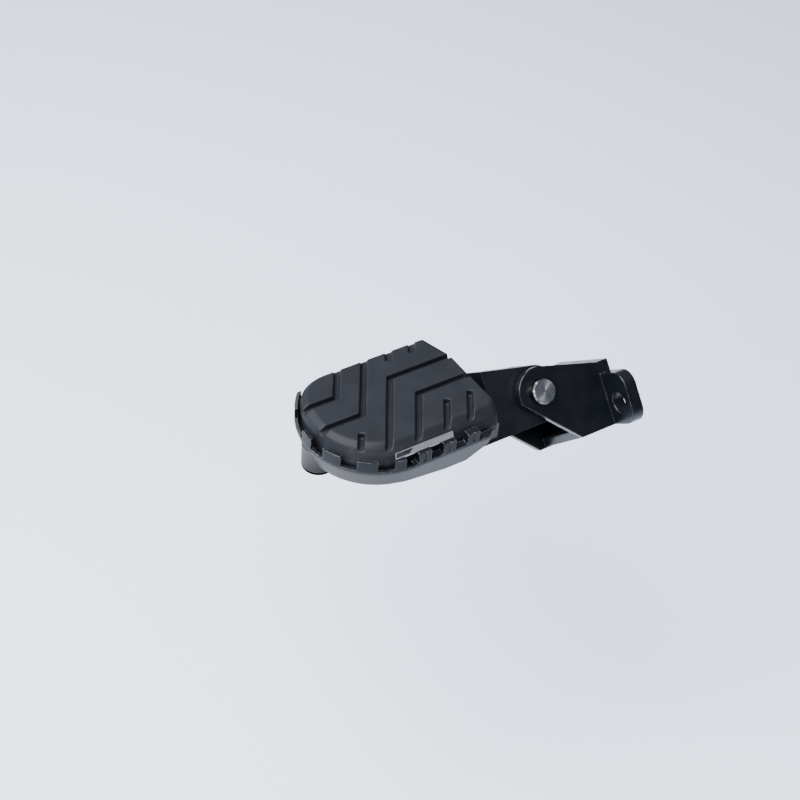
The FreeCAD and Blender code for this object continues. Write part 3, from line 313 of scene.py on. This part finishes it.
def shade(colour, factor):
    """A colour made lighter or darker, with its alpha."""
    return tuple(min(1.0, channel * factor) for channel in colour) + (1.0,)


def dress(node, material):
    """Gives a CAD piece its finish."""
    piece = frame["nodes"][node]
    piece.data.materials.clear()
    piece.data.materials.append(material)


def link(name, data):
    """A new object of a mesh, a light or a camera, in the scene."""
    piece = bpy.data.objects.new(name, data)
    bpy.context.scene.collection.objects.link(piece)
    return piece


def apply_modifiers(piece):
    """Makes the modifiers' result the piece's own mesh."""
    graph = bpy.context.evaluated_depsgraph_get()
    mesh = bpy.data.meshes.new_from_object(piece.evaluated_get(graph))
    piece.modifiers.clear()
    piece.data = mesh


def hinge_point(reach, along, up):
    """A point beside the pin, in the row frame: reach outboard, along the pin, and up from it."""
    return PIN_POINT + Vector((reach, 0.0, 0.0)) + PIN_AXIS * along + PIN_UP * up


def tube(mesh, points, radius, sides):
    """Fills a mesh with a round rod along points, closed at both ends."""
    shape = bmesh.new()
    rings = []
    side = (points[1] - points[0]).normalized().orthogonal()
    turns = [2 * math.pi * k / sides for k in range(sides)]
    for index, point in enumerate(points):
        before, after = points[max(index - 1, 0)], points[min(index + 1, len(points) - 1)]
        along = (after - before).normalized()
        side = (side - along * side.dot(along)).normalized()
        other = along.cross(side)
        rings.append([
            shape.verts.new(point + (side * math.cos(turn) + other * math.sin(turn)) * radius)
            for turn in turns])
    for first, second in zip(rings, rings[1:]):
        for k in range(sides):
            after = (k + 1) % sides
            shape.faces.new((first[k], first[after], second[after], second[k]))
    shape.faces.new(reversed(rings[0]))
    shape.faces.new(rings[-1])
    bmesh.ops.recalc_face_normals(shape, faces=shape.faces)
    shape.to_mesh(mesh)
    shape.free()


def rubber_material():
    """Matt moulded rubber: a fine skin, specks of dust, and rubbed, greyer edges."""
    _, colours = settings()
    nodes = Nodes("tread_rubber")
    skin = nodes.noise(0.25 * MM, detail=6.0, rough=0.65)
    clouds = nodes.noise(9 * MM, detail=3.0)
    specks = nodes.ramp(nodes.noise(1.1 * MM, detail=1.0), [(0.76, 0.0), (0.80, 1.0)])
    rubbed = nodes.add("ShaderNodeNewGeometry").outputs["Pointiness"]
    rubbed = nodes.ramp(rubbed, [(0.51, 0.0), (0.60, 1.0)])
    colour = nodes.cloudy(clouds, colours.rubber, 0.85, 1.15)
    colour = nodes.mix(nodes.times(rubbed, 0.35), colour, shade(colours.rubber, 2.2))
    colour = nodes.mix(nodes.times(specks, 0.25), colour, shade(colours.rubber, 3.0))
    roughness = nodes.ramp(clouds, [(0.2, 0.50), (0.8, 0.62)])
    normal = nodes.bump(skin, depth=0.012 * MM, strength=0.6)
    return nodes.finish(colour, roughness, normal, Specular_IOR_Level=0.17)


def cast_material():
    """Powder-coated casting: orange peel over a fine grain, painted shade on the crown, its recesses and
    the foot of the boss, and broken painted highlights on the edges.
    """
    sizes, colours = settings()
    nodes = Nodes("coated_casting")
    grain = nodes.noise(sizes.cast_grain, detail=5.0, rough=0.6)
    peel = nodes.noise(1.3 * MM, detail=2.0)
    clouds = nodes.noise(14 * MM, detail=3.0)
    # Painted shade: the crown and its recesses are painted near black, with less of it on the level rear
    # tops that face the light
    painted_shade_share = nodes.number("SUBTRACT", 1.0, nodes.times(unshaded_rear_top(nodes), 0.8))
    painted_shade_colour = shade(colours.black_paint, 1.0)
    colour = nodes.cloudy(clouds, colours.casting, 0.92, 1.1)
    colour = nodes.mix(nodes.times(painted_crown_shade(nodes), painted_shade_share), colour, painted_shade_colour)
    colour = nodes.mix(nodes.times(painted_recess_shade(nodes), painted_shade_share), colour, painted_shade_colour)
    # Painted shade: the boss is painted darker towards its foot
    colour = nodes.mix(nodes.times(painted_boss_shade(nodes), 0.8), colour, shade(colours.casting, 0.15))
    # Painted highlights: bright glints along the edges, broken up by a noise
    edge = nodes.edges(radius=0.4 * MM, low=0.03, high=0.16)
    broken = nodes.ramp(nodes.noise(1.6 * MM, detail=4.0), [(0.40, 0.05), (0.62, 1.0)])
    colour = nodes.mix(nodes.times(edge, broken, 0.7), colour, shade(colours.bright_metal, 0.7))
    roughness = nodes.ramp(grain, [(0.25, 0.42), (0.75, 0.56)])
    normal = nodes.bump(grain, depth=0.02 * MM, strength=0.35, over=nodes.rounded(sizes.cast_edge))
    normal = nodes.bump(peel, depth=0.05 * MM, strength=0.25, over=normal)
    return nodes.finish(colour, roughness, normal, Specular_IOR_Level=0.2)


def from_tip(nodes):
    """X, Y and Z of a point of the casting, from the tip's centre at the notch floors' height."""
    return nodes.axes(nodes.vector("SUBTRACT", nodes.place, tuple(TIP_CENTRE)))


def painted_crown_shade(nodes):
    """Painted shade: 0 on the leaning wall under the crown, 1 on the teeth and the lip below them, which
    are painted dark.
    """
    return nodes.climb(from_tip(nodes)["Z"], DECK_HEIGHT, PLAY)


def unshaded_rear_top(nodes):
    """1 on the level tops of the crown's rear side, which face the light and so are spared most of the
    painted shade.
    """
    at = from_tip(nodes)
    rear = nodes.number("LESS_THAN", at["Y"], REAR_SIDE)
    on_crown = nodes.number("GREATER_THAN", at["Z"], DECK_HEIGHT + PLAY)
    return nodes.times(nodes.level(0.7), rear, on_crown)


def painted_recess_shade(nodes):
    """Painted shade: 1 on the deck and on the crown's inner faces, notch flanks and tops, which are painted
    dark, 0 on its outside.
    """
    at = from_tip(nodes)
    outward = nodes.add("ShaderNodeCombineXYZ")
    nodes.join(nodes.number("MAXIMUM", at["X"], 0.0), outward.inputs["X"])
    nodes.join(at["Y"], outward.inputs["Y"])
    outward = outward.outputs["Vector"]
    inside = nodes.number("LESS_THAN", nodes.vector("LENGTH", outward), CROWN_INSIDE)
    faces_out = nodes.vector("DOT_PRODUCT", nodes.facing, nodes.vector("NORMALIZE", outward))
    turned_in = nodes.number("LESS_THAN", faces_out, 0.6)
    over_deck = nodes.times(inside, nodes.number("GREATER_THAN", at["Z"], DECK_HEIGHT - PLAY))
    over_lip = nodes.number("GREATER_THAN", at["Z"], LIP_HEIGHT)
    return nodes.times(turned_in, nodes.number("MAXIMUM", over_deck, over_lip))


def painted_boss_shade(nodes):
    """Painted shade: 0 up on the boss and everywhere else, 1 near the foot of the boss, which is painted
    darker.
    """
    low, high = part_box("boss_plug")
    centre, radius = (low + high) / 2, (high.x - low.x) / 2
    offset = nodes.vector("SUBTRACT", nodes.place, tuple(centre))
    aside = nodes.vector("MULTIPLY", offset, (1.0, 1.0, 0.0))
    near = nodes.number("LESS_THAN", nodes.vector("LENGTH", aside), radius + BOSS_PLAY)
    return nodes.times(near, nodes.climb(from_tip(nodes)["Z"], BOSS_LIGHT, BOSS_DARK))


def black_paint_material(name, smoothest, roughest, chips_and_glints, edge_radius):
    """Satin black paint: a faint orange peel, and lighter edges, partly thin, chipped paint and partly
    painted highlight.
    """
    _, colours = settings()
    nodes = Nodes(name)
    peel = nodes.noise(0.9 * MM, detail=2.0)
    haze = nodes.noise(6 * MM, detail=4.0)
    edge = nodes.edges(radius=0.3 * MM, low=0.03, high=0.2)
    broken = nodes.ramp(nodes.noise(1.2 * MM, detail=5.0), [(0.5, 0.0), (0.62, 1.0)])
    colour = nodes.cloudy(haze, colours.black_paint, 0.85, 1.25)
    # Lighter edges: partly thin, chipped paint, partly painted highlight
    colour = nodes.mix(nodes.times(edge, broken, chips_and_glints), colour, shade(colours.bright_metal, 0.45))
    roughness = nodes.ramp(haze, [(0.25, smoothest), (0.75, roughest)])
    normal = nodes.bump(peel, depth=0.03 * MM, strength=0.2, over=nodes.rounded(edge_radius))
    return nodes.finish(colour, roughness, normal, Specular_IOR_Level=0.4)


def turned_material(name, tone, rough, ring_pitch, face_radius):
    """Turned metal: fine rings about the pin, a sheen that fans out, and painted dark reflections in spots
    beside its end face.
    """
    _, colours = settings()
    nodes = Nodes(name)
    offset = nodes.vector("SUBTRACT", nodes.place, tuple(PIN_POINT))
    along = nodes.vector("DOT_PRODUCT", offset, tuple(PIN_AXIS))
    on_axis = nodes.add("ShaderNodeVectorMath", operation="SCALE")
    on_axis.inputs[0].default_value = tuple(PIN_AXIS)
    nodes.join(along, on_axis.inputs["Scale"])
    outward = nodes.vector("SUBTRACT", offset, on_axis.outputs["Vector"])
    radius = nodes.vector("LENGTH", outward)
    tangent = nodes.vector("NORMALIZE", nodes.vector("CROSS_PRODUCT", tuple(PIN_AXIS), outward))
    ring_place = nodes.add("ShaderNodeCombineXYZ")
    nodes.join(radius, ring_place.inputs["X"])
    nodes.join(along, ring_place.inputs["Y"])
    rings = nodes.noise(ring_pitch, detail=3.0, rough=0.7, at=ring_place.outputs["Vector"])
    stain = nodes.noise(2.5 * MM, detail=5.0, rough=0.6)
    stained = nodes.ramp(stain, [(0.55, 0.0), (0.75, 0.45)])
    painted_dark_reflection = nodes.ramp(nodes.noise(2.2 * MM, detail=2.0), [(0.38, 0.45), (0.52, 1.0)])
    beside_face = nodes.number("GREATER_THAN", radius, face_radius)
    colour = nodes.cloudy(rings, colours.bright_metal, tone * 0.82, tone * 1.1)
    colour = nodes.mix(stained, colour, shade(colours.bright_metal, tone * 0.4))
    # Painted reflection: the chamfer and side beside the end face are painted dark in spots
    colour = nodes.mix(nodes.times(beside_face, painted_dark_reflection), colour, shade(colours.bright_metal, tone * 0.08))
    roughness = nodes.ramp(stain, [(NOISE_LOW, rough), (NOISE_HIGH, rough + 0.14)])
    normal = nodes.bump(rings, depth=0.01 * MM, strength=0.5, over=nodes.rounded(SMALL_EDGE))
    nodes.join(tangent, nodes.shader.inputs["Tangent"])
    return nodes.finish(colour, roughness, normal, metallic=1.0, Anisotropic=0.85)


def plated_material(name, tone, rough):
    """Plated or blackened steel: a cloudy sheen and fine scratches."""
    _, colours = settings()
    nodes = Nodes(name)
    clouds = nodes.noise(1.5 * MM, detail=5.0, rough=0.6)
    scratches = nodes.noise(0.4 * MM, detail=3.0, stretch=(1.0, 12.0, 1.0))
    colour = nodes.cloudy(clouds, colours.bright_metal, tone * 0.75, tone * 1.1)
    roughness = nodes.ramp(clouds, [(NOISE_LOW, rough), (NOISE_HIGH, rough + 0.15)])
    normal = nodes.bump(scratches, depth=0.008 * MM, strength=0.4, over=nodes.rounded(SMALL_EDGE))
    return nodes.finish(colour, roughness, normal, metallic=1.0)


def plastic_material(name, colour, rough, gloss):
    """Moulded plastic with a fine spark-eroded skin."""
    nodes = Nodes(name)
    skin = nodes.noise(0.3 * MM, detail=4.0)
    clouds = nodes.noise(3 * MM, detail=2.0)
    tint = nodes.cloudy(clouds, colour, 0.9, 1.15)
    roughness = nodes.ramp(skin, [(NOISE_LOW, rough), (NOISE_HIGH, rough + 0.12)])
    normal = nodes.bump(skin, depth=0.01 * MM, strength=0.4, over=nodes.rounded(SMALL_EDGE))
    return nodes.finish(tint, roughness, normal, Specular_IOR_Level=gloss)


def bar_material():
    """Brushed bar: lengthwise lines, bright borders, and a dark field sunk at its outboard end."""
    _, colours = settings()
    nodes = Nodes("brushed_bar")
    low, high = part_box("trim_bar")
    lines = nodes.noise(0.5 * MM, detail=4.0, rough=0.7, stretch=(0.04, 1.0, 1.0))
    clouds = nodes.noise(4 * MM, detail=2.0)
    height = nodes.axes(nodes.place)["Z"]
    sunk, foot = 0.06 * MM, 0.2 * MM
    under_top = nodes.number("LESS_THAN", height, high.z - sunk)
    over_foot = nodes.number("GREATER_THAN", height, low.z + foot)
    field = nodes.times(under_top, over_foot, nodes.level(0.9))
    bright = nodes.cloudy(lines, colours.bar_metal, 0.86, 1.05)
    dark = nodes.cloudy(clouds, colours.bar_metal, 0.1, 0.19)
    colour = nodes.mix(field, bright, dark)
    roughness = nodes.ramp(lines, [(NOISE_LOW, 0.26), (NOISE_HIGH, 0.40)])
    normal = nodes.bump(lines, depth=0.01 * MM, strength=0.3, over=nodes.rounded(SMALL_EDGE))
    return nodes.finish(colour, roughness, normal, metallic=0.9)


class FOOTPEG_OT_casting(Operator):
    """Coat the cast peg"""

    bl_idname = "footpeg.casting"
    bl_label = "Cast Peg"

    def execute(self, context):
        dress("peg_body", cast_material())
        return {"FINISHED"}


class FOOTPEG_OT_tread_rubber(Operator):
    """Mould the tread rubber from its solid, with soft edges"""

    bl_idname = "footpeg.tread_rubber"
    bl_label = "Tread Rubber"

    def execute(self, context):
        sizes, _ = settings()
        rubber = link("tread_rubber", frame["nodes"]["rubber_pad"].data.copy())
        remesh = rubber.modifiers.new("moulded_skin", "REMESH")
        remesh.mode = "VOXEL"
        remesh.voxel_size = sizes.rubber_grid
        remesh.use_smooth_shade = True
        smooth = rubber.modifiers.new("soft_edges", "SMOOTH")
        smooth.factor = sizes.rubber_rounding
        smooth.iterations = 1
        apply_modifiers(rubber)
        rubber.data.shade_smooth()
        rubber.data.materials.clear()
        rubber.data.materials.append(rubber_material())
        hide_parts("rubber_pad")
        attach(rubber, "peg")
        return {"FINISHED"}


class FOOTPEG_OT_trim_bar(Operator):
    """Brush the bright bar"""

    bl_idname = "footpeg.trim_bar"
    bl_label = "Bright Bar"

    def execute(self, context):
        dress("trim_bar", bar_material())
        return {"FINISHED"}


class FOOTPEG_OT_boss_plug(Operator):
    """Close the boss with a black plug whose flange stands square under it"""

    bl_idname = "footpeg.boss_plug"
    bl_label = "Boss Plug"

    FLANGE_ROUNDING = 0.15 * MM

    def execute(self, context):
        _, colours = settings()
        low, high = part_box("boss_plug")
        centre, rim = (low + high) / 2, (high.x - low.x) / 2
        plug = link("square_plug", frame["nodes"]["boss_plug"].data.copy())
        for vertex in plug.data.vertices:
            offset = vertex.co.xy - centre.xy
            if vertex.co.z < low.z + self.FLANGE_ROUNDING and offset.length > rim / 2:
                vertex.co.xy = centre.xy + offset.normalized() * (rim - self.FLANGE_ROUNDING)
        plug.data.materials.clear()
        plug.data.materials.append(
            plastic_material("plug_plastic", colours.plug_plastic, rough=0.8, gloss=0.0))
        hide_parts("boss_plug")
        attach(plug, "peg")
        return {"FINISHED"}


class FOOTPEG_OT_adapter(Operator):
    """Paint the adapter block satin black"""

    bl_idname = "footpeg.adapter"
    bl_label = "Adapter Block"

    def execute(self, context):
        sizes, _ = settings()
        paint = black_paint_material(
            "adapter_paint", smoothest=0.34, roughest=0.46, chips_and_glints=0.3, edge_radius=sizes.adapter_edge)
        dress("adapter_block", paint)
        return {"FINISHED"}


class FOOTPEG_OT_bracket(Operator):
    """Paint the clevis bracket black, with thin paint on its edges"""

    bl_idname = "footpeg.bracket"
    bl_label = "Clevis Bracket"

    def execute(self, context):
        sizes, _ = settings()
        paint = black_paint_material(
            "bracket_paint", smoothest=0.24, roughest=0.36, chips_and_glints=0.7, edge_radius=sizes.bracket_edge)
        dress("clevis_bracket", paint)
        return {"FINISHED"}


class FOOTPEG_OT_hinge_metal(Operator):
    """Finish the pin, its washer and its clip"""

    bl_idname = "footpeg.hinge_metal"
    bl_label = "Hinge Metal"

    def execute(self, context):
        turned = turned_material(
            "turned_pin", tone=1.2, rough=0.24, ring_pitch=0.25 * MM, face_radius=4.45 * MM)
        dress("pivot_pin", turned)
        dress("pin_washer", plated_material("pin_washer_zinc", tone=0.9, rough=0.32))
        dress("retaining_clip", plated_material("clip_black_oxide", tone=0.12, rough=0.35))
        return {"FINISHED"}


class FOOTPEG_OT_return_spring(Operator):
    """Wind the return spring from round wire, with a hook over the arm and a leg on the stop web"""

    bl_idname = "footpeg.return_spring"
    bl_label = "Return Spring"

    # The hook reaches over the arm, bends and runs to the coil
    HOOK_REACH = 14.0 * MM
    HOOK_END = -0.2 * MM
    BEND = 1.6 * MM
    BEND_STEPS = 6
    COIL_START = -5.2 * MM
    # The coil, with points to a turn and sides of the round wire
    TURNS = 3
    TURN_STEPS = 48
    SIDES = 14
    # The leg that leans on the stop web
    SLOPE = math.radians(15.0)
    LEG = 14.8 * MM

    def execute(self, context):
        sizes, _ = settings()
        mesh = bpy.data.meshes.new("round_spring")
        tube(mesh, self.path(sizes.spring_coil, sizes.spring_pitch), sizes.spring_wire, self.SIDES)
        spring = link("round_spring", mesh)
        mesh.materials.append(plated_material("spring_wire", tone=0.45, rough=0.28))
        mesh.shade_smooth()
        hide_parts("return_spring")
        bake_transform(spring)
        return {"FINISHED"}

    def path(self, coil, pitch):
        """Points along the wire: hook, bend, run to the coil, the coil, and the leg on the stop web."""
        points = [(self.HOOK_REACH, self.HOOK_END, coil)]
        for step in range(self.BEND_STEPS + 1):
            turn = math.radians(90.0 * step / self.BEND_STEPS)
            points.append((
                self.HOOK_REACH - self.BEND * (1 - math.cos(turn)),
                self.COIL_START + self.BEND * (1 - math.sin(turn)), coil))
        points.append((self.HOOK_REACH / 2, self.COIL_START, coil))
        for step in range(self.TURNS * self.TURN_STEPS + 1):
            turn = 2 * math.pi * step / self.TURN_STEPS
            along = self.COIL_START - pitch * step / self.TURN_STEPS
            points.append((-math.sin(turn) * coil, along, math.cos(turn) * coil))
        for turn in (self.SLOPE / 2, self.SLOPE):
            points.append((-math.sin(turn) * coil, along, math.cos(turn) * coil))
        reach, _, up = points[-1]
        points.append((
            reach - math.cos(self.SLOPE) * self.LEG, along, up - math.sin(self.SLOPE) * self.LEG))
        return [hinge_point(*point) for point in points]


class FOOTPEG_OT_bushes(Operator):
    """Finish the plastic bush and the spring's spool"""

    bl_idname = "footpeg.bushes"
    bl_label = "Plastic Bushes"

    def execute(self, context):
        _, colours = settings()
        plastic = plastic_material("bush_plastic", colours.bush_plastic, rough=0.42, gloss=0.1)
        for piece in ("front_bush", "spring_spool"):
            dress(piece, plastic)
        return {"FINISHED"}


class FOOTPEG_OT_fasteners(Operator):
    """Finish the screws, bolts, washers and the carrier plate"""

    bl_idname = "footpeg.fasteners"
    bl_label = "Fasteners"

    def execute(self, context):
        zinc = plated_material("zinc_plate", tone=0.85, rough=0.30)
        black = plated_material("black_oxide", tone=0.12, rough=0.36)
        for place in ("front", "rear", "tip"):
            dress("pad_screw_" + place, zinc)
            dress("pad_washer_" + place, zinc)
        for place in ("front", "rear"):
            dress("adapter_bolt_" + place, black)
        dress("pad_plate", zinc)
        return {"FINISHED"}


class FOOTPEG_OT_stage(Operator):
    """Set the pale floor, the soft light and the camera"""

    bl_idname = "footpeg.stage"
    bl_label = "Stage"

    FLOOR_HALF_WIDTH = 20.0
    FLOOR_DROP = 100 * MM
    SKY_COLOUR = (0.88, 0.93, 1.0, 1.0)
    # Each side of the sky: its direction, then pairs of how far a ray looks along it and the strength there
    OUTBOARD = Vector((0.90, -0.30, 0.10)), (-1.0, 0.06), (1.0, 0.95)
    HORIZON = Vector((0.0, 0.0, 1.0)), (0.05, 0.5), (0.30, 0.0)
    LIGHT_PLACE = Vector((0.50, 0.0, 0.72))
    LIGHT_SIZE = 1.0
    LIGHT_POWER = 42.0
    LIGHT_COLOUR = (0.97, 0.985, 1.0)
    CAMERA_PLACE = Vector((0.3643, 0.3970, 0.4708))
    CAMERA_AZIMUTH = math.radians(34.851)
    CAMERA_ELEVATION = math.radians(42.922)
    CAMERA_ROLL = math.radians(4.454)
    LENS = 81.0
    SENSOR_WIDTH = 36.0

    def execute(self, context):
        self.floor()
        self.sky()
        self.light()
        self.camera()
        return {"FINISHED"}

    def floor(self):
        """A wide pale floor, below the object as the ground is below a mounted peg."""
        _, colours = settings()
        low, _ = cad_box
        mesh = bpy.data.meshes.new("floor")
        shape = bmesh.new()
        bmesh.ops.create_grid(shape, x_segments=1, y_segments=1, size=self.FLOOR_HALF_WIDTH)
        shape.to_mesh(mesh)
        shape.free()
        floor = link("floor", mesh)
        floor.location = (0.0, 0.0, low.z - self.FLOOR_DROP)
        nodes = Nodes("floor_paint")
        colour = nodes.cloudy(nodes.noise(0.2, detail=2.0), colours.floor, 0.99, 1.0)
        mesh.materials.append(nodes.finish(colour, 0.7))

    def sky(self):
        """A world with a pale horizon and a pale outboard side, and dark above elsewhere."""
        world = bpy.data.worlds.new("studio")
        bpy.context.scene.world = world
        world.use_nodes = True
        tree = world.node_tree
        background = tree.nodes["Background"]
        background.inputs["Color"].default_value = self.SKY_COLOUR
        ray = tree.nodes.new("ShaderNodeTexCoord").outputs["Generated"]
        strength = tree.nodes.new("ShaderNodeMath")
        strength.operation = "MAXIMUM"
        for side, socket in zip((self.OUTBOARD, self.HORIZON), strength.inputs):
            tree.links.new(self.side_of_sky(tree, ray, *side), socket)
        tree.links.new(strength.outputs["Value"], background.inputs["Strength"])

    def side_of_sky(self, tree, ray, direction, first, last):
        """Strength between two values, by how far a ray looks along a direction."""
        along = tree.nodes.new("ShaderNodeVectorMath")
        along.operation = "DOT_PRODUCT"
        along.inputs[1].default_value = direction.normalized()
        spread = tree.nodes.new("ShaderNodeMapRange")
        for end, (position, value) in (("Min", first), ("Max", last)):
            spread.inputs["From " + end].default_value = position
            spread.inputs["To " + end].default_value = value
        tree.links.new(ray, along.inputs[0])
        tree.links.new(along.outputs["Value"], spread.inputs["Value"])
        return spread.outputs["Result"]

    def light(self):
        """One square soft light that looks at the object."""
        data = bpy.data.lights.new("key_light", "AREA")
        data.size = self.LIGHT_SIZE
        data.energy = self.LIGHT_POWER
        data.color = self.LIGHT_COLOUR
        light = link("key_light", data)
        light.location = self.LIGHT_PLACE
        low, high = cad_box
        look = (low + high) / 2 - self.LIGHT_PLACE
        light.rotation_mode = "QUATERNION"
        light.rotation_quaternion = look.to_track_quat("-Z", "Y")

    def camera(self):
        """The camera, where the photograph was taken from."""
        data = bpy.data.cameras.new("camera")
        data.lens = self.LENS
        data.sensor_width = self.SENSOR_WIDTH
        camera = link("camera", data)
        azimuth, elevation = self.CAMERA_AZIMUTH, self.CAMERA_ELEVATION
        back = Vector((
            math.sin(azimuth) * math.cos(elevation), math.cos(azimuth) * math.cos(elevation),
            math.sin(elevation)))
        right = (-back).cross(Vector((0.0, 0.0, 1.0))).normalized()
        up = right.cross(-back)
        turn = Matrix((right, up, back)).transposed().to_4x4()
        roll = Matrix.Rotation(self.CAMERA_ROLL, 4, "Z")
        camera.matrix_world = Matrix.Translation(self.CAMERA_PLACE) @ turn @ roll
        bpy.context.scene.camera = camera


PIECES = (
    FOOTPEG_OT_stage,
    FOOTPEG_OT_casting,
    FOOTPEG_OT_tread_rubber,
    FOOTPEG_OT_trim_bar,
    FOOTPEG_OT_adapter,
    FOOTPEG_OT_bracket,
    FOOTPEG_OT_hinge_metal,
    FOOTPEG_OT_return_spring,
    FOOTPEG_OT_bushes,
    FOOTPEG_OT_boss_plug,
    FOOTPEG_OT_fasteners,
)


class FOOTPEG_PT_looks(Panel):
    """Sizes, colours and pieces of the footpeg"""

    bl_idname = "FOOTPEG_PT_looks"
    bl_label = "Footpeg"
    bl_space_type = "VIEW_3D"
    bl_region_type = "UI"
    bl_category = "Footpeg"

    def draw(self, context):
        layout = self.layout
        for group in (context.scene.footpeg_sizes, context.scene.footpeg_colours):
            box = layout.box()
            for name in group.__annotations__:
                box.prop(group, name)
        column = layout.column()
        for piece in PIECES:
            column.operator(piece.bl_idname)


CLASSES = (FootpegSizes, FootpegColours) + PIECES + (FOOTPEG_PT_looks,)


def register():
    """Adds the classes, and the sizes and colours of a scene."""
    for item in CLASSES:
        bpy.utils.register_class(item)
    bpy.types.Scene.footpeg_sizes = PointerProperty(type=FootpegSizes)
    bpy.types.Scene.footpeg_colours = PointerProperty(type=FootpegColours)


def unregister():
    """Takes the sizes, the colours and the classes out again."""
    del bpy.types.Scene.footpeg_colours
    del bpy.types.Scene.footpeg_sizes
    for item in reversed(CLASSES):
        bpy.utils.unregister_class(item)


def main():
    """Makes the stage and every piece."""
    register()
    for piece in PIECES:
        group, name = piece.bl_idname.split(".")
        getattr(getattr(bpy.ops, group), name)()


if __name__ == "__main__":
    main()
